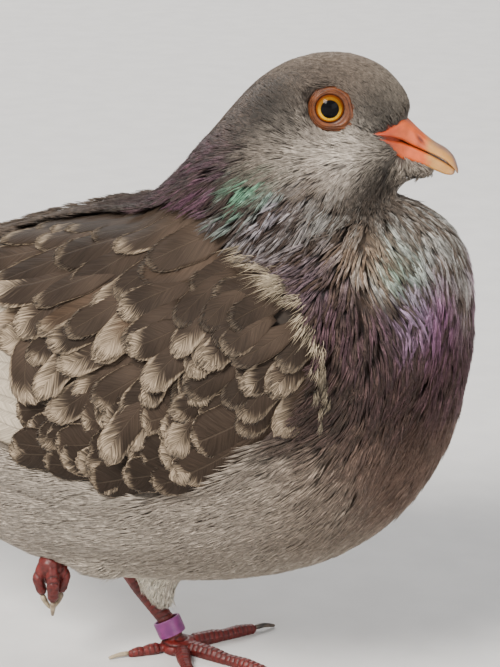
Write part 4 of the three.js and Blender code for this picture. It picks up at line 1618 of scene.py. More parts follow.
@dataclass
class Wing:
    """One folded wing's coverts, scapulars and inner quills, and its primaries."""

    side: Side
    round_map: RoundMap
    sink: float = 2.2  # how deep the feathers' roots lie under the wing's outer surface
    tries: int = 24000  # places that the coverts are chosen from
    flight_count: int = 13
    primary_count: int = 8
    primary_width: float = 11.0

    QUILL_ROWS = (  # feathers, first and last place along the body, length, width, degrees up, root's height
        (11, 52.0, 8.0, 37.0, 12.0, 0, -0.1), (9, 52.0, 4.0, 28.0, 12.0, 7, -0.3),
        (8, 53.0, 0.0, 21.0, 11.0, 14, -0.6))

    def dress(self, finish: Finishes) -> None:
        """Makes the wing's pieces.

        Args:
            finish: what "wing_finishes" gives.
        """
        tag, shift = self.side.tag, self.side.value
        scale, long_vane = VaneShape(Vane.COVERT), VaneShape(Vane.QUILL, rows=16)
        coverts, quills = self.coverts(SEED + shift), self.quills(SEED + 5 + shift)
        self.laid(coverts, scale, 24).piece(f"wing_coverts_{tag}", finish["covert"], "wing_feathers")
        edges = joined([self.barbs(coverts, scale, (CREAM, DARK), 2.5, SEED).form(),
                        self.barbs(quills, long_vane, (CREAM * 0.7, DARK), 0.9, SEED + 1).form()])
        edges.piece(f"wing_barbs_{tag}", finish["edging"], "wing_feathers")
        self.laid(quills, long_vane, 8).piece(f"wing_quills_{tag}", finish["quill"], "wing_feathers")
        node = f"primaries_{tag}"
        self.primaries(node).piece(f"wing_tip_{tag}", finish["white"], "flight_feathers", node)
        flights = self.laid(self.flights(SEED + 12), VaneShape(Vane.QUILL, columns=13, rows=24), 4)
        flights.piece(f"wing_flights_{tag}", finish["white"], "flight_feathers")

    @staticmethod
    def _own(rng: np.random.Generator, x: Array, turn: Array) -> Array:
        """Each feather's lightness, its fringe's lean and how much fringe it has, by its place on the wing.

        Args:
            rng: the source of chance.
            x: places along the body.
            turn: angles from the spine.

        Returns:
            Three numbers for each, 0 to 1.
        """
        def about(at_x: float, at_turn: float, reach: float, spread: float) -> Array:
            """A bell over the wing about one place."""
            return hump(x, at_x, reach) * hump(turn, at_turn, spread)

        tone, lean, lot = rng.uniform(0, 1, (3, len(x)))
        pale = 0.42 + 0.4 * about(-12, 52, 20, 12) + 0.35 * about(28, 82, 20, 13)
        pale = pale + 0.25 * about(22, 54, 26, 5) - 0.36 * about(40, 44, 16, 14)
        # the dip about turn 66, just below the scapulars' overhanging shelf, is painted shade: less pale
        # fringe there
        pale = pale - 0.2 * about(0, 20, 34, 14) - 0.15 * about(20, 66, 26, 5)
        white = (about(-9, 86, 9, 8) + about(10, 100, 7, 5) > 0.5) & (lot > 0.35)
        # painted shade under the shelf: the feathers about turn 66 are darker
        tone = np.where(white, 1.0, tone * (0.9 - 0.3 * about(20, 66, 26, 6)))
        return np.stack([tone, lean, np.clip(pale * (0.35 + 1.3 * lot), 0, 1)], axis=1)

    @staticmethod
    def _layout(x: Array, turn: Array) -> tuple[Array, Array, Array]:
        """How the coverts lie at places on the wing, and how big they are.

        Args:
            x: places along the body.
            turn: angles from the spine.

        Returns:
            Degrees below straight back, lengths and widths.
        """
        lean = 9 + ramp(12, 62, turn) * (34 - 22 * ramp(20, -70, x)) - 6 * ramp(88, 108, turn)
        rear = ramp(48, -20, x)
        low = ramp(60, 95, turn)
        top = ramp(60, 25, turn)
        length = 15.5 + 7 * rear + 5 * low * rear + 6 * top
        width = 8.2 + 2.2 * rear + 1.4 * low * rear + 2.4 * top
        return lean, length, width

    def coverts(self, seed: int) -> Feathers:
        """Scatters the coverts and scapulars like shingles over the wing.

        Args:
            seed: the random seed.

        Returns:
            The feathers.
        """
        rng = np.random.default_rng(seed)
        x = rng.uniform(-60, 58, self.tries)
        turn = rng.uniform(2, 112, self.tries)
        upper, lower = wing_edges(x + 4)
        rear = np.interp(turn, [24, 31, 42, 48, 58, 64, 100], [-48, -12, -12, -26, -14, -3, 0])
        keep = (turn > upper - 6) & (turn < lower - 24 * ramp(54, 34, x) - 3) & (x > rear)
        x, turn = x[keep], turn[keep]
        lean, length, width = self._layout(x, turn)
        chosen: list[int] = []
        down = np.radians(turn) * self.round_map.reach(x, turn * self.side.value)
        flat = np.stack([-x, down], axis=1)
        heading = np.stack([np.cos(np.radians(lean)), np.sin(np.radians(lean))], axis=1)
        for index in range(len(x)):
            if chosen:
                gap = flat[chosen] - flat[index]
                along = gap @ heading[index]
                across = gap @ np.array([-heading[index][1], heading[index][0]])
                near = (along / (0.33 * length[index])) ** 2 + (across / (0.5 * width[index])) ** 2
                if near.min() < 1:
                    continue
            chosen.append(index)
        pick = np.array(chosen)
        count = len(pick)
        x, turn = x[pick], turn[pick]
        shelf = (0.9 * ramp(42, 58, turn) * (turn < 62) - 0.8 * ramp(78, 66, turn) * (turn >= 62))
        shelf = shelf * ramp(-20, -5, x) * ramp(56, 48, x)
        spine = ramp(40, 24, turn)  # by the back they lie flat
        return Feathers(
            x, turn, lean[pick] + rng.normal(0, 8, count) * (1 - 0.6 * spine),
            length[pick] * rng.uniform(0.85, 1.15, count), width[pick] * rng.uniform(0.85, 1.15, count),
            shelf + rng.normal(0, 0.15, count), (0.118 + rng.normal(0, 0.036, count)) * (1 - 0.62 * spine),
            rng.normal(4, 11, count) * (1 - spine), rng.normal(0, 0.13, count) * (1 - 0.8 * spine),
            self._own(rng, x, turn))

    def quills(self, seed: int) -> Feathers:
        """The greater coverts and the secondaries that show along the wing's lower edge.

        Args:
            seed: the random seed.

        Returns:
            The feathers.
        """
        rng = np.random.default_rng(seed)
        rows = []
        for row, (count, first, last, length, width, up, rise) in enumerate(self.QUILL_ROWS):
            x = np.linspace(first, last, count) + rng.normal(0, 1.2, count)
            _, lower = wing_edges(x)
            turn = lower - np.interp(x, [-5, 12, 30, 50], [18, 20, 18, 5]) - up + rng.normal(0, 0.8, count)
            lean = np.interp(x, [-10, 12, 30, 50], [0, 5, 16, 24]) + 3 * row + rng.normal(0, 2, count)
            own = self._own(rng, x, turn)
            own[:, 2] = np.clip(own[:, 2], 0.3, 0.6)
            rows.append(Feathers(
                x, turn, lean, length * rng.uniform(0.88, 1.08, count), width * rng.uniform(0.9, 1.1, count),
                np.full(count, rise), 0.088 + 0.012 * row + rng.normal(0, 0.002, count),
                rng.normal(-5, 3, count), rng.normal(0, 0.014, count), own))
        return Feathers(*[np.concatenate([getattr(row, part.name) for row in rows])
                          for part in fields(Feathers)])

    def flights(self, seed: int) -> Feathers:
        """The white secondaries that show behind the coverts, each one over the next lower one.

        Args:
            seed: the random seed.

        Returns:
            The feathers.
        """
        rng = np.random.default_rng(seed)
        count = self.flight_count
        turn = np.linspace(16, 93, count)
        share = np.linspace(0, 1, count)
        x = -6 - 24 * (1 - share) + rng.normal(0, 0.8, count)
        length = 64 + 18 * share + rng.normal(0, 1.2, count)
        own = [rng.uniform(low, high, count) for low, high in ((0.2, 0.7), (0, 1), (0.3, 0.7))]
        return Feathers(x, turn, 8 - 16 * share + rng.normal(0, 0.8, count), length, np.full(count, 17.0),
                        0.2 - 0.5 * share, np.full(count, 0.032), 4 - 8 * share, np.full(count, 0.02),
                        np.stack(own, axis=1))

    def laid(self, feathers: Feathers, shape: VaneShape, cells: int) -> Form:
        """Lays feathers over the wing.

        Args:
            feathers: where they lie.
            shape: what each one looks like.
            cells: how many cells a row of the bake map has.

        Returns:
            The form.
        """
        across, along = shape.grid()
        count = len(feathers.x)
        rng = np.random.default_rng(count)
        half = shape.outline(along)[None] * np.ones((count, 1, 1))
        ragged = np.interp(along, [0, 0.6, 1], [0, 0.02, 0.06])[None] * rng.normal(0, 1, half.shape)
        reach = along[None] * (1 + ragged * 5.5 / feathers.length[:, None, None])
        spots, ups = self.place(feathers, np.arange(count), across[None] * half * (1 + ragged), reach, shape)
        return shape.mesh(spots, ups, feathers.own, cells)

    def place(self, feathers: Feathers, which: Array, out: Array, along: Array,
              shape: VaneShape) -> tuple[Array, Array]:
        """Places on feathers.

        Args:
            feathers: where they lie.
            which: each feather's index.
            out: how far across, as a share of the half width, first axis by feather.
            along: how far along, as a share of the length.
            shape: the kind of vane.

        Returns:
            Points and outward directions.
        """
        def wide(values: Array) -> Array:
            """One value a feather, shaped to go with the places on it."""
            return values[which].reshape(-1, *([1] * (out.ndim - 1)))

        s = along * wide(feathers.length)
        t = out * wide(feathers.width) / 2
        angle = np.radians(wide(feathers.lean) + wide(feathers.bend) * along)
        back = s * np.cos(angle) - t * np.sin(angle)
        down = s * np.sin(angle) + t * np.cos(angle)
        x = wide(feathers.x) - back
        signed = wide(feathers.turn) * self.side.value
        radius = self.round_map.reach(wide(feathers.x) + 0 * x, signed + 0 * x)
        turn = signed + self.side.value * np.degrees(down / np.maximum(radius, 12))
        spot, up = self.round_map.spot_and_up(x, turn)
        arch = shape.arch * wide(feathers.width) / 10 * out**2
        height = wide(feathers.base) - self.sink + wide(feathers.slope) * s - arch
        height = height + wide(feathers.roll) * t * along
        return spot + up * height[..., None], up

    def barbs(self, feathers: Feathers, shape: VaneShape, colours: tuple[Array, Array], reach: float,
              seed: int) -> Strands:
        """Fine loose barbs that soften each feather's tip.

        Args:
            feathers: the feathers they edge.
            shape: what each one looks like.
            colours: the pale and the dark colour.
            reach: how far a barb runs, in millimetres.
            seed: the random seed.

        Returns:
            The strands.
        """
        rng = np.random.default_rng(seed)
        each = 30
        which = np.repeat(np.arange(len(feathers.x)), each)
        out = np.tile(np.linspace(-0.95, 0.95, each), len(feathers.x)) + rng.normal(0, 0.03, len(which))
        edge = shape.margin(out)
        step = reach / feathers.length[which] * rng.uniform(0.6, 1.1, len(which))
        spots = []
        for share in (-0.85, -0.3, 0.22):
            spread = out * (1 + 0.10 * (share + 0.3))
            spot, up = self.place(feathers, which, spread, edge + step * share, shape)
            spots.append(spot + up * (0.06 + rng.normal(0.04, 0.07, len(which)) * (share > 0))[:, None])
        side = unit(np.cross(up, spots[2] - spots[0]))
        pale = np.clip(feathers.own[which, 2] * 1.3 + 0.1, 0, 1)
        blend = (1 - pale * rng.uniform(0.15, 1, len(which)))[:, None]
        colour = colours[0] * (1 - blend) + colours[1] * blend
        colour = colour * rng.uniform(0.65, 1.1, len(which))[:, None]
        count = len(feathers.x)
        cell = np.stack([np.arange(count) % 24 + 0.5, np.arange(count) // 24 + 0.5], axis=1) / 24
        patch = cell[which] + np.stack([out * 0.012, 0 * out], axis=1)
        return Strands(*spots, side, up, rng.uniform(0.17, 0.32, len(which)), colour, colour,
                       np.zeros(len(which)), patch)

    def primaries(self, node: str) -> Form:
        """The long quills that make the wing's tip.

        Args:
            node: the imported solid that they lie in.

        Returns:
            The form.
        """
        low, high = solid_box(node)
        count, way = self.primary_count, self.side.value
        step = np.arange(count)  # from the longest, lowest one to the shortest, which lies on top
        inner, outer = (low[1], high[1]) if self.side is Side.LEFT else (high[1], low[1])
        tips = np.stack([low[0] + 1.5 + step * 5.6, inner + (outer - inner) * 0.3 - 0.35 * way * step,
                         low[2] + 3.2 + step * 0.75], axis=1)
        roots = np.stack([high[0] - 14 + step, outer - way * (3.5 + 0.9 * step),
                          low[2] + 7.5 + step * 0.55], axis=1)
        facing = np.tile(unit(np.array([-0.06, 0.62 * way, 0.78])), (count, 1))
        own = np.random.default_rng(SEED + 9).uniform(0, 1, (count, 3))
        return straight_vanes(roots, tips, facing, np.full(count, self.primary_width),
                              VaneShape(Vane.QUILL, rows=24), own, 1.0, 3)


def wing_finishes() -> Finishes:
    """The finishes of the wings' vanes and of the fine strands on their edges.

    Returns:
        The materials by name.
    """
    grey, beige, white = linear(134, 124, 110), linear(122, 112, 98), linear(152, 143, 130)
    return {
        "covert": VaneFinish("covert_vane", DARK, TAN, CREAM, 0.28, 0.25, white=0.05, shaft=0.12).build(),
        "edging": CoatFinish("vane_edging").build(),
        "quill": VaneFinish("quill_vane", DARK, TAN, CREAM, 0.08, 0.09, barbs=90, slant=0.14, white=0.05,
                            shaft=0.14).build(),
        "white": VaneFinish("white_quill", grey, beige, white, 0.07, 0.03, barbs=150, slant=0.1).build()}


def straight_vanes(roots: Array, tips: Array, facing: Array, width: Array, shape: VaneShape, own: Array,
                   droop: float, cells: int) -> Form:
    """Long vanes from roots to tips.

    Args:
        roots: where the quills start.
        tips: where they end.
        facing: the way each vane's upper side looks.
        width: each vane's width.
        shape: the kind of vane.
        own: three numbers for each.
        droop: how far a vane sags at its middle, in millimetres.
        cells: how many cells a row of the bake map has.

    Returns:
        The form.
    """
    across, along = shape.grid()
    run = tips - roots
    way = unit(run)
    side = unit(np.cross(way, facing))
    up = unit(np.cross(side, way))
    half = shape.outline(along) * across
    bow = np.sin(along * np.pi) * droop
    spot = (roots[:, None, None] + run[:, None, None] * along[None, ..., None]
            + side[:, None, None] * (half[None] * width[:, None, None] / 2)[..., None])
    sag = shape.arch * width[:, None, None] / 10 * half[None] ** 2 + bow[None]
    spot = spot - up[:, None, None] * sag[..., None]
    ups = np.broadcast_to(up[:, None, None], spot.shape)
    return shape.mesh(spot, ups, own, cells)


@dataclass
class Tail:
    """The tail's quills, fanned a little, and the soft pale feathers that run onto them from the rump."""

    surface: Surface
    count: int = 12
    fan: float = 8.5  # degrees by which the outermost quills turn out
    length: float = 76.0
    drop: float = 13.0  # degrees below level
    width: float = 18.0
    shoulder: float = 2.6  # how much lower the outermost quills lie

    COVERT_ROWS = (  # feathers, places of their roots and tips, half the spread, height over the tail
        (15, -104.0, -139.0, 15.0, 0.9), (14, -100.0, -131.0, 14.5, 1.7), (13, -96.0, -124.0, 14.0, 2.5))

    def build(self) -> None:
        """Makes the quills, and then the coverts over them."""
        _, high = solid_box("tail")
        top = high[2] - 1.4
        drop = math.radians(self.drop)
        place = np.linspace(-1, 1, self.count)
        turn = np.radians(place * self.fan)
        length = self.length * (1 - 0.05 * place**2)
        level = top - np.abs(place) * self.shoulder
        fall, across = np.full(self.count, -math.sin(drop)), np.full(self.count, math.cos(drop))
        roots = np.stack([np.full(self.count, high[0]), MIDLINE + place * 8, level], axis=1)
        run = np.stack([-np.cos(turn) * math.cos(drop), np.sin(turn), fall], axis=1)
        facing = np.stack([fall, place * 0.25, across], axis=1)
        own = np.random.default_rng(SEED + 3).uniform(0, 1, (self.count, 3))
        finish = VaneFinish("tail_vane", linear(128, 120, 112), linear(140, 126, 110), linear(196, 188, 176),
                            0.1, 0.06, barbs=120, slant=0.12, band=0.8)
        tips, width = roots + run * length[:, None], np.full(self.count, self.width)
        form = straight_vanes(roots, tips, unit(facing), width, VaneShape(Vane.TAIL, rows=24), own, 0.8, 4)
        form.piece("tail_quills", finish.build(), "tail_feathers", "tail")
        finish = VaneFinish("rump_vane", linear(106, 99, 90), linear(110, 100, 88), linear(150, 141, 129),
                            0.4, 0.3, barbs=70, slant=0.2, shaft=0.1).build()
        for number, form in enumerate(self._coverts(top, math.tan(drop))):
            form.piece(f"tail_coverts_{number + 1}", finish, "rump_feathers")

    def _coverts(self, level: float, fall: float) -> list[Form]:
        """The feathers that run from the rump onto the tail, longest in the row beneath.

        Args:
            level: the tail's height at its root.
            fall: how far the tail drops for each millimetre back.

        Returns:
            A form for each row.
        """
        rng = np.random.default_rng(SEED + 15)
        forms = []
        for count, front, back, spread, over in self.COVERT_ROWS:
            place = np.linspace(-1, 1, count)
            top = np.stack([place * 0 + front, MIDLINE + place * (spread - 3), place * 0 + 112], axis=1)
            _, roots = self.surface.look_up(top)
            roots = roots - self.surface.normals[self.surface.look_up(roots)[0]] * 1.5
            rear = back + np.abs(place) * 6 + rng.normal(0, 1.6, count)
            height = level + (rear + 110) * fall - np.abs(place) * self.shoulder + over
            tips = np.stack([rear, MIDLINE + place * spread, height], axis=1)
            facing = unit(np.stack([np.full(count, -0.3), place * 0.8, np.ones(count)], axis=1))
            own = rng.uniform(0, 1, (count, 3))
            width, shape = rng.uniform(6.5, 9.0, count), VaneShape(Vane.COVERT, rows=16)
            forms.append(straight_vanes(roots, tips, facing, width, shape, own, -2.0, 4))
        return forms


# ---- head pieces ----


@dataclass
class Eye:
    """An eyeball and the bare folded skin round it."""

    side: Side
    sides: int = 96
    corner: float = 2.4  # how far the front lower corner draws out
    forward: float = 0.7  # how far the bare skin reaches further before the eye than behind it
    rise: float = 0.5  # how far the ball stands above its solid's middle
    folds: int = 4

    def __post_init__(self) -> None:
        """Finds the eye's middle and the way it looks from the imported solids."""
        low, high = solid_box(f"eye_{self.side.tag}")
        lid_low, lid_high = solid_box(f"eyelid_{self.side.tag}")
        self.centre = (low + high) / 2 + [0, 0, self.rise]
        self.radius = (high[2] - low[2]) / 2
        lid = (lid_low + lid_high) / 2 + [0, 0, self.rise]
        self.axis = unit(lid - self.centre)
        self.reach = float(np.linalg.norm(lid - self.centre))

    def ball(self) -> Form:
        """The eyeball, a little flatter behind and with a clear bulge in front.

        Returns:
            The form.
        """
        polar = np.linspace(0.02, np.pi - 0.02, 40)
        bulge = 0.35 * np.exp(-((polar / 0.62) ** 2))
        outline = np.stack([self.radius * np.sin(polar), (self.radius + bulge) * np.cos(polar)], axis=1)
        return tube(turned_rings(outline, self.centre, self.axis, self.sides))

    def lid(self) -> Form:
        """The ring of bare skin, with folds round it and a drawn-out corner.

        Returns:
            The form, painted with how deep in a fold each point is.
        """
        share = np.linspace(0, 1, 34)
        radius = 3.75 + 2.5 * share
        ball_height = np.sqrt(np.maximum((self.radius + 0.12) ** 2 - radius**2, 0))
        flat = self.reach + 1.05 - 1.7 * share**1.4
        height = np.maximum(ball_height * (radius < self.radius), 0) * (1 - ramp(0.0, 0.35, share))
        height = height + flat * ramp(0.0, 0.35, share) + 0.35 * hump(share, 0.12, 0.1)
        outline = np.stack([radius, height], axis=1)
        rings = turned_rings(outline, self.centre, self.axis, self.sides)
        turn = np.linspace(0, 2 * np.pi, self.sides, endpoint=False)
        wander = 0.35 * np.sin(3 * turn + 0.7) + 0.25 * np.sin(5 * turn + 2)
        fold = np.sin(2 * np.pi * (share[:, None] * self.folds + wander[None] * share[:, None]))
        deep = fold * ramp(0.12, 0.35, share)[:, None] * (0.75 + 0.25 * np.sin(7 * turn))[None]
        rings = rings + self.axis * (0.17 * deep)[..., None]
        forward = head_frame(np.array([[60.0, 0.0, 160.0]]), back=True)[0] - [HEAD_AXIS_X, 0, 160.0]
        corner_way = unit(forward * 0.82 + np.array([0, 0, -16.0]))
        lean = (rings - self.centre) @ corner_way / np.maximum(radius[:, None], 1e-6)
        drawn = self.corner * np.clip(lean, 0, 1) ** 7 * share[:, None] ** 1.5
        ahead = unit(forward) * self.forward * share[:, None, None] ** 1.5
        rings = rings + corner_way * drawn[..., None] + ahead
        inner = rings - self.axis * np.where(share < 0.5, 1.0, 1.6)[:, None, None]
        loop = np.concatenate([rings, inner[::-1]])
        rows, columns = loop.shape[:2]
        faces = grid_faces(rows + 1, columns, closed=True) % (rows * columns)  # the last row meets the first
        form = Form(loop.reshape(-1, 3), faces)
        # crease: the bottoms of the folds, the inner edge by the eyeball and the outer edge under the
        # feathers; the skin's finish darkens these as painted shade
        crease = np.clip(-deep, 0, 1) * 0.8 + hump(share, 0.0, 0.06)[:, None]
        crease = crease + 0.5 * ramp(0.8, 1, share)[:, None]
        crease = np.clip(np.concatenate([crease, crease[::-1]]), 0, 1)
        form.values["crease"] = crease.ravel()
        return form

    def build(self, wet: bpy.types.Material, skin: bpy.types.Material) -> None:
        """Makes the eyeball and its ring of skin.

        Args:
            wet: the eyeball's finish.
            skin: the bare skin's finish.
        """
        tag = self.side.tag
        self.ball().piece(f"eyeball_{tag}", wet, "eye", f"eye_{tag}")
        self.lid().piece(f"orbit_{tag}", skin, "eyelid", f"eyelid_{tag}")


@dataclass
class Bill:
    """The bill's two halves, lofted through sections."""

    upper: tuple[tuple[float, ...], ...] = (  # x, z, up, down, half width
        (54.5, 154.5, 0.6, 0.9, 9.6), (57.0, 154.3, 0.8, 0.9, 9.3), (59.2, 154.1, 1.5, 1.2, 8.3),
        (61.3, 153.8, 3.1, 1.5, 6.6), (63.3, 152.9, 4.3, 1.4, 4.9), (65.3, 151.6, 4.2, 1.3, 3.6),
        (68.3, 149.9, 3.4, 0.9, 2.9), (71.3, 148.6, 2.5, 0.75, 2.4), (74.3, 147.3, 2.1, 0.85, 2.2),
        (76.5, 145.9, 1.5, 1.2, 1.7), (77.6, 144.6, 0.5, 1.1, 0.9), (77.9, 143.9, 0.2, 0.4, 0.4))
    lower: tuple[tuple[float, ...], ...] = (
        (54.5, 153.6, 0.5, 0.7, 9.4), (57.0, 153.2, 0.5, 0.9, 9.1), (59.2, 152.5, 0.4, 1.8, 8.0),
        (61.3, 151.5, 0.6, 3.5, 6.3), (63.1, 150.8, 0.6, 4.3, 4.6), (64.8, 150.0, 0.5, 3.9, 3.3),
        (68.3, 148.4, 0.5, 3.1, 2.4), (71.8, 146.8, 0.5, 2.8, 2.0), (74.6, 145.4, 0.5, 2.3, 1.6),
        (76.4, 144.4, 0.4, 1.4, 1.0), (77.0, 144.1, 0.2, 0.6, 0.4))
    base: float = 57.0  # where the paint starts along the bill, and how long it is from there
    length: float = 21.0
    rings: int = 72
    sides: int = 40

    def build(self) -> None:
        """Makes both halves of the bill."""
        finish = BillFinish().build()
        for is_upper, node in ((True, "bill_upper"), (False, "bill_lower")):
            self.half(is_upper).piece(f"{node}_horn", finish, "bill", node)

    def half(self, is_upper: bool) -> Form:
        """One half of the bill.

        Args:
            is_upper: True for the upper half.

        Returns:
            The form, painted with how far along and how high each point is.
        """
        stations = smooth_line(np.array(self.upper if is_upper else self.lower), self.rings)
        turn = np.linspace(0, 2 * np.pi, self.sides, endpoint=False)
        x, z, up, down, side = (stations[:, k, None] for k in range(5))
        along = np.clip((x - self.base) / self.length, 0, 1)
        rise = np.where(np.sin(turn) > 0, up, down) * np.sign(np.sin(turn)) * np.abs(np.sin(turn)) ** 0.9
        wide = side * np.sign(np.cos(turn)) * np.abs(np.cos(turn)) ** (0.85 if is_upper else 0.7)
        crease = np.zeros((self.rings, self.sides))
        if is_upper:
            tilt = np.degrees(np.arctan2(np.sin(turn), np.abs(np.cos(turn))))
            lobe = hump(along, 0.34, 0.15) * hump(tilt, 48, 26)
            slit = hump(along + (tilt - 30) * 0.0025, 0.52, 0.04) * hump(tilt, 27, 11)
            rise = rise + 0.55 * lobe
            wide = wide * (1 + 0.16 * lobe - 0.30 * slit)
            crease = np.clip(slit * 1.1, 0, 1) + 0.4 * hump(along, 0.5, 0.03) * hump(tilt, 5, 25)
        # the crease marks the nostril's slit, a line along the side and the faces where the halves meet; the
        # finish darkens it as painted shade
        inward = -np.sin(turn) if is_upper else np.sin(turn)
        crease = crease + 0.9 * ramp(0.72, 0.95, inward)
        points = np.stack([x + 0 * turn, wide, z + rise], axis=-1)
        points = head_frame(points, back=True) + [0, MIDLINE, 0]
        form = tube(points)
        rows = self.rings + 2
        level = np.sin(turn)[None] * np.ones((rows, 1))
        padded = np.concatenate([crease[:1], crease, crease[-1:]])
        form.values["along"] = np.repeat(np.concatenate([along[:1], along, along[-1:]]), self.sides)
        form.values["height"] = level.ravel() if is_upper else np.zeros(rows * self.sides)
        form.values["crease"] = np.clip(padded, 0, 1).ravel()
        return form


# ---- legs ----


@dataclass
class Foot:
    """The bare skin of one leg: shank, pad and toes as one piece, with scales."""

    side: Side
    voxel: float = 0.36
    groove: float = 0.16  # depth between the scales
    toes: tuple[str, ...] = ("inner", "middle", "outer", "hallux")

    def build(self, material: bpy.types.Material) -> None:
        """Makes the scaly skin over the leg's solids.

        Args:
            material: the skin's finish.
        """
        tag = self.side.tag
        parts = [f"sole_{tag}"] + [f"toe_{toe}_{tag}" for toe in self.toes]
        if self.side is Side.LEFT:
            parts.append(f"shank_{tag}")
        mesh = Surface()
        mesh.take(*remeshed(parts, self.voxel, 0.24))
        points = mesh.relaxed(mesh.points, 6)
        normals = mesh.normals_of(points)
        crease = self._scales(points, normals)
        points = points - normals * (self.groove * crease)[:, None]
        points[:, 2] = np.maximum(points[:, 2], 0.0)
        # the finish darkens the skin by this crease: painted shade in the grooves between scales and in the
        # wrinkles underneath
        form = Form(points, mesh.faces, {}, {"crease": np.clip(crease, 0, 1)})
        form.piece(f"leg_skin_{tag}", material, "leg_skin", *parts)

    def _scales(self, points: Array, normals: Array) -> Array:
        """How deep in a groove between scales each point lies.

        Args:
            points: the skin's points.
            normals: the outward directions.

        Returns:
            0 on a scale to 1 in a groove.
        """
        low, high = solid_box(f"sole_{self.side.tag}")
        centre = (low + high) / 2
        reach = np.linalg.norm(points - centre, axis=1)
        pitch = 1.55 if self.side is Side.LEFT else 1.2
        broad = np.abs(np.cos(np.pi * reach / pitch)) ** 10
        upper = ramp(-0.25, 0.35, normals[:, 2])
        wrinkle = np.array([noise.noise(Vector(point * 0.9)) for point in points])
        pads = np.clip(0.5 + 1.4 * wrinkle, 0, 1) * 0.5
        return broad * (0.35 + 0.65 * upper) + pads * (1 - upper) * 0.6


def refined_claw(name: str, material: bpy.types.Material) -> None:
    """Makes a claw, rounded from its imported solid.

    Args:
        name: the claw's node.
        material: its finish.
    """
    scratch = cad_form([name], 0.3)
    modifier = scratch.modifiers.new("round", "SUBSURF")
    modifier.levels = modifier.render_levels = 3
    evaluated = scratch.evaluated_get(bpy.context.evaluated_depsgraph_get())
    mesh = bpy.data.meshes.new_from_object(evaluated)
    mesh.name = f"{name}_horn"
    bpy.data.objects.remove(scratch)
    as_piece(mesh, material, [name])


@dataclass
class LegRing:
    """The plain band on the standing leg."""

    axis: tuple[float, float, float] = (-0.44, 0.05, 0.9)
    inner: float = 3.2
    outer: float = 4.0
    height: float = 4.8
    sides: int = 96
    power: float = 0.35  # how square the band's section is, 1 for an ellipse

    def build(self) -> None:
        """Makes the band with rounded rims."""
        low, high = solid_box("leg_ring")
        turn = np.linspace(0, 2 * np.pi, 28, endpoint=False)
        middle, half = (self.inner + self.outer) / 2, (self.outer - self.inner) / 2
        wide, tall = (np.sign(one) * np.abs(one) ** self.power for one in (np.cos(turn), np.sin(turn)))
        outline = np.stack([middle + half * wide, self.height / 2 * tall], axis=1)
        rings = turned_rings(outline, (low + high) / 2, unit(np.array(self.axis)), self.sides)
        faces = grid_faces(len(turn) + 1, self.sides, closed=True) % (len(turn) * self.sides)
        around = np.tile(np.arange(self.sides) / self.sides, len(turn))
        along = np.repeat(outline[:, 1] / self.height + 0.5, self.sides)
        wrap = np.stack([around, along], axis=1)[faces].reshape(-1, 2)
        paler_rims = np.repeat(ramp(0.8, 1.0, np.abs(tall)), self.sides)
        form = Form(rings.reshape(-1, 3), faces, {"wrap": wrap}, {"crease": paler_rims})
        form.piece("leg_ring_band", RingFinish().build(), "leg_ring", "leg_ring")


# ---- the bird ----


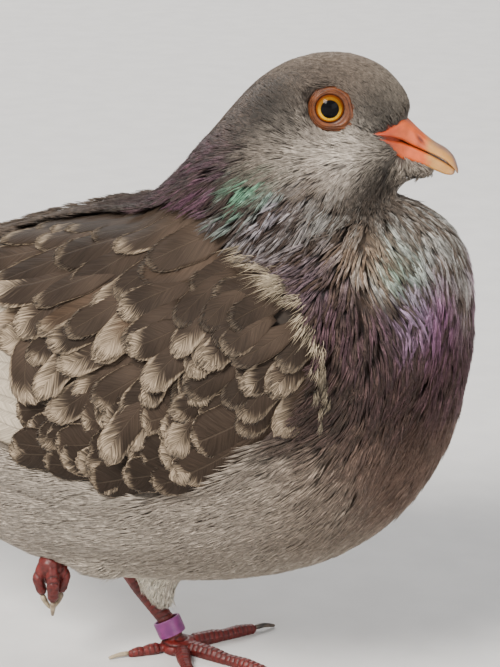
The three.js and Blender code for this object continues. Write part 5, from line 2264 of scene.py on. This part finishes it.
@dataclass
class Plumage:
    """The skin, the coat over it and the long strands along the wings' front edges."""

    surface: Surface
    wing_depth: float = 3.0  # how deep the skin lies under the wings' vanes
    eye_ring: float = 6.1  # how far from the middle of an eye the feathers start
    head_line: float = 147.0  # how high the coat's head pieces start, above the head's turning line

    BILL_EDGE = (  # heights, and how far forward the feathers reach there beside the bill and its gape
        (143.0, 74.0), (145.0, 69.6), (147.6, 65.0), (150.6, 62.2), (152.2, 60.0), (153.2, 57.8),
        (154.2, 57.6), (155.0, 59.8), (156.2, 62.6), (158.0, 65.0))
    SHOULDER = (  # a folded wing's front edge
        (31, 31.3, 132), (41, 35.6, 126), (49.5, 38.5, 118.7), (54, 40.4, 108), (56.5, 41.1, 98),
        (56.5, 40.2, 88))

    def build(self) -> None:
        """Makes the skin, the coat and the shoulders' strands."""
        self.local = head_frame(self.surface.points - [0, MIDLINE, 0])
        self.coat = Coat(self.surface)
        self._skin()
        self._coat()
        self._shoulder_fringe()

    def _skin(self) -> None:
        """One skin under the whole coat."""
        surface = self.surface
        depth = surface.spread(surface.marks["depth"], 4)
        depth = depth * (1 - surface.winged) + self.wing_depth * surface.winged
        points = surface.relaxed(surface.points - surface.normals * depth[:, None], 6)
        # painted shade: the skin takes the coat's colour at 0.7, and under the wings' fore part a dark brown,
        # so gaps in the coat read as shade
        colour = surface.marks["colour"] * 0.7
        shaded = surface.winged * ramp(-72, -52, surface.points[:, 0])
        colour = colour + (linear(50, 41, 34) - colour) * shaded[:, None]
        gape = self._bill_base() & (surface.points[:, 2] > 149) & (surface.points[:, 2] < 156.4)
        colour = np.where(gape[:, None], linear(134, 56, 36), surface.spread(colour, 3))
        form = Form(points, surface.faces, {}, {"plumage": colour, "gloss": np.zeros(len(points))})
        form.piece("body_skin", CoatFinish("under_coat_and_shade").build(), "belly_feathers", *FLESH)

    def _coat(self) -> None:
        """The small feathers, part by part."""
        free = (self.surface.spread(self.surface.winged, 6) < 0.5) & ~self._bare()
        x, z = self.local[:, 0], self.local[:, 2]
        is_head = z > self.head_line - 0.25 * (x - HEAD_AXIS_X)
        is_neck = ~is_head & (z > 124)
        is_breast = ~is_head & ~is_neck & (x > 38)
        is_back = ~is_head & ~is_neck & ~is_breast & (z > 100)
        is_leg = (z < 30) & (np.abs(x + 8) < 22)
        left = self.local[:, 1] > 0
        under = ~(is_head | is_neck | is_breast | is_back | is_leg)
        halves = (("head", is_head, "head"), ("neck", is_neck, "neck"), ("breast", is_breast, "breast"),
                  ("belly", under, "belly"))
        parts = [(f"{name}_{tag}", part & half, slot) for name, part, slot in halves
                 for tag, half in (("left", left), ("right", ~left))]
        parts += [("back", is_back, "rump"), ("thighs", is_leg, "belly")]
        material = CoatFinish("body_coat").build()
        for number, (name, part, slot) in enumerate(parts):
            strands = self.coat.strands(free & part, SEED + number)
            strands.form().piece(f"coat_{name}", material, f"{slot}_feathers")

    def _shoulder_fringe(self) -> None:
        """The long cream strands along each wing's front edge."""
        material = CoatFinish("shoulder_strands").build()
        for side in Side:
            places = np.array(self.SHOULDER) * [1, side.value, 1] + [0, MIDLINE, 0]
            strands = self.coat.fringe(places, linear(204, 186, 158), SEED + 30)
            strands.form().piece(f"shoulder_fringe_{side.tag}", material, "wing_feathers")

    def _bare(self) -> Array:
        """Which of the surface's points carry no feathers: round the eyes and where the bill comes out.

        Returns:
            True where the skin is bare.
        """
        bare = self._bill_base()
        for side in Side:
            eye = Eye(side)
            middle = eye.centre + eye.axis * eye.reach
            bare |= np.linalg.norm(self.surface.points - middle, axis=1) < self.eye_ring
        return bare

    def _bill_base(self) -> Array:
        """Which points lie in the wedge where the bill and its gape come out of the feathers.

        Returns:
            True for those points.
        """
        x, y, z = self.local.T
        ahead = x > np.interp(z, *np.transpose(self.BILL_EDGE))
        return ahead & (np.abs(y) < 12.5) & (z > 143.5) & (z < 158.5)


# ---- the setting ----


@dataclass
class Studio:
    """A plain pale floor, soft light and the camera."""

    aim: tuple[float, float, float] = (19.08, 6.38, 93.59)
    azimuth: float = 19.4
    height: float = 16.22
    distance: float = 650.0
    lens: float = 128.6

    LIGHTS = (  # name, place, length of the sides, watts, colour
        ("key", (-800, -2600, 2500), 1300, 238, (1.0, 0.96, 0.9)),
        ("fill", (2600, -1900, 800), 2100, 40, (0.93, 0.96, 1.0)),
        ("rim", (-1300, 2100, 2100), 1500, 65, (1.0, 0.98, 0.95)))

    def build(self) -> None:
        """Makes the floor, the lights and the camera."""
        self._floor()
        world = bpy.data.worlds.new("studio")
        world.use_nodes = True
        background = world.node_tree.nodes["Background"]
        background.inputs["Color"].default_value = (0.86, 0.88, 0.92, 1)
        background.inputs["Strength"].default_value = 0.5
        bpy.context.scene.world = world
        for light in self.LIGHTS:
            self._light(*light)
        camera = bpy.data.cameras.new("camera")
        camera.lens = self.lens
        camera.sensor_width = 36
        camera.sensor_fit = "AUTO"
        camera.clip_start = 0.01
        station = placed("camera", camera)
        turn, rise = math.radians(self.azimuth), math.radians(self.height)
        back = Vector((math.sin(turn) * math.cos(rise), -math.cos(turn) * math.cos(rise), math.sin(rise)))
        station.location = (Vector(self.aim) + back * self.distance) * MM
        station.rotation_euler = back.to_track_quat("Z", "Y").to_euler()
        bpy.context.scene.camera = station

    def _floor(self) -> None:
        """A pale matt floor with a faint grain."""
        nodes = Nodes("floor_matt")
        grain = nodes.noise(nodes.place(), 60.0, 4.0)
        nodes.set(Base_Color=nodes.mix(nodes.span(grain, 0.3, 0.7), (0.66, 0.65, 0.64), (0.7, 0.69, 0.68)))
        nodes.set(Roughness=0.85)
        nodes.bump(grain, 0.1, 0.3)
        mesh = bpy.data.meshes.new("floor")
        turn = np.linspace(0, np.pi / 2, 16)
        outline = np.stack([np.append(0.02, 2.5 + 3 * np.sin(turn)),
                            np.append(0, 3 * (1 - np.cos(turn)))], axis=1)  # flat, then curving up, in metres
        rings = turned_rings(outline, np.zeros(3), np.array([0.0, 0.0, 1.0]), 96)
        faces = [list(range(96))[::-1], *grid_faces(len(outline), 96, closed=True).tolist()]
        mesh.from_pydata(rings.reshape(-1, 3).tolist(), [], faces)
        mesh.polygons.foreach_set("use_smooth", np.ones(len(faces), bool))
        mesh.materials.append(nodes.material)
        placed("floor", mesh)

    def _light(self, name: str, at: tuple[float, float, float], size: float, power: float,
               colour: tuple[float, float, float]) -> None:
        """One soft square light that looks at the bird.

        Args:
            name: the light's name.
            at: where it hangs, in millimetres.
            size: the length of its sides.
            power: in watts.
            colour: its colour.
        """
        light = bpy.data.lights.new(name, "AREA")
        light.size = size * MM
        light.energy = power
        light.color = colour
        lamp = placed(name, light)
        lamp.location = Vector(at) * MM
        lamp.rotation_euler = (lamp.location - Vector((0, 0, 0.08))).to_track_quat("Z", "Y").to_euler()


def write_sizes() -> None:
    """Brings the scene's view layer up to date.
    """
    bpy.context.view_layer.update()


def main() -> None:
    """Builds the bird and its setting in order; each piece is reported as it is made."""
    logging.basicConfig(level=logging.INFO, format="%(message)s")
    surface = Surface()
    surface.build(Markings(tuple(ZONES.values())))
    Plumage(surface).build()
    round_map = RoundMap(surface)
    vanes = wing_finishes()
    wet = EyeFinish().build()
    bare = SkinFinish("orbital_skin", linear(116, 62, 25), linear(40, 18, 8), 1500, 0.45).build()
    scaly = SkinFinish("leg_scales", linear(102, 22, 16), linear(42, 9, 7), 900).build()
    for side in Side:
        Wing(side, round_map).dress(vanes)
        Eye(side).build(wet, bare)
        Foot(side).build(scaly)
    Tail(surface).build()
    Bill().build()
    dark = HornFinish("claw_dark", linear(44, 36, 32), linear(96, 82, 70)).build()
    pale = HornFinish("claw_pale", linear(170, 154, 128), linear(120, 102, 82)).build()
    for name in sorted(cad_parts):
        if name.startswith("claw_"):
            refined_claw(name, pale if name.endswith("right") or "hallux" in name else dark)
    LegRing().build()
    Studio().build()
    write_sizes()
    LOG.info("built")


if __name__ == "__main__":
    main()
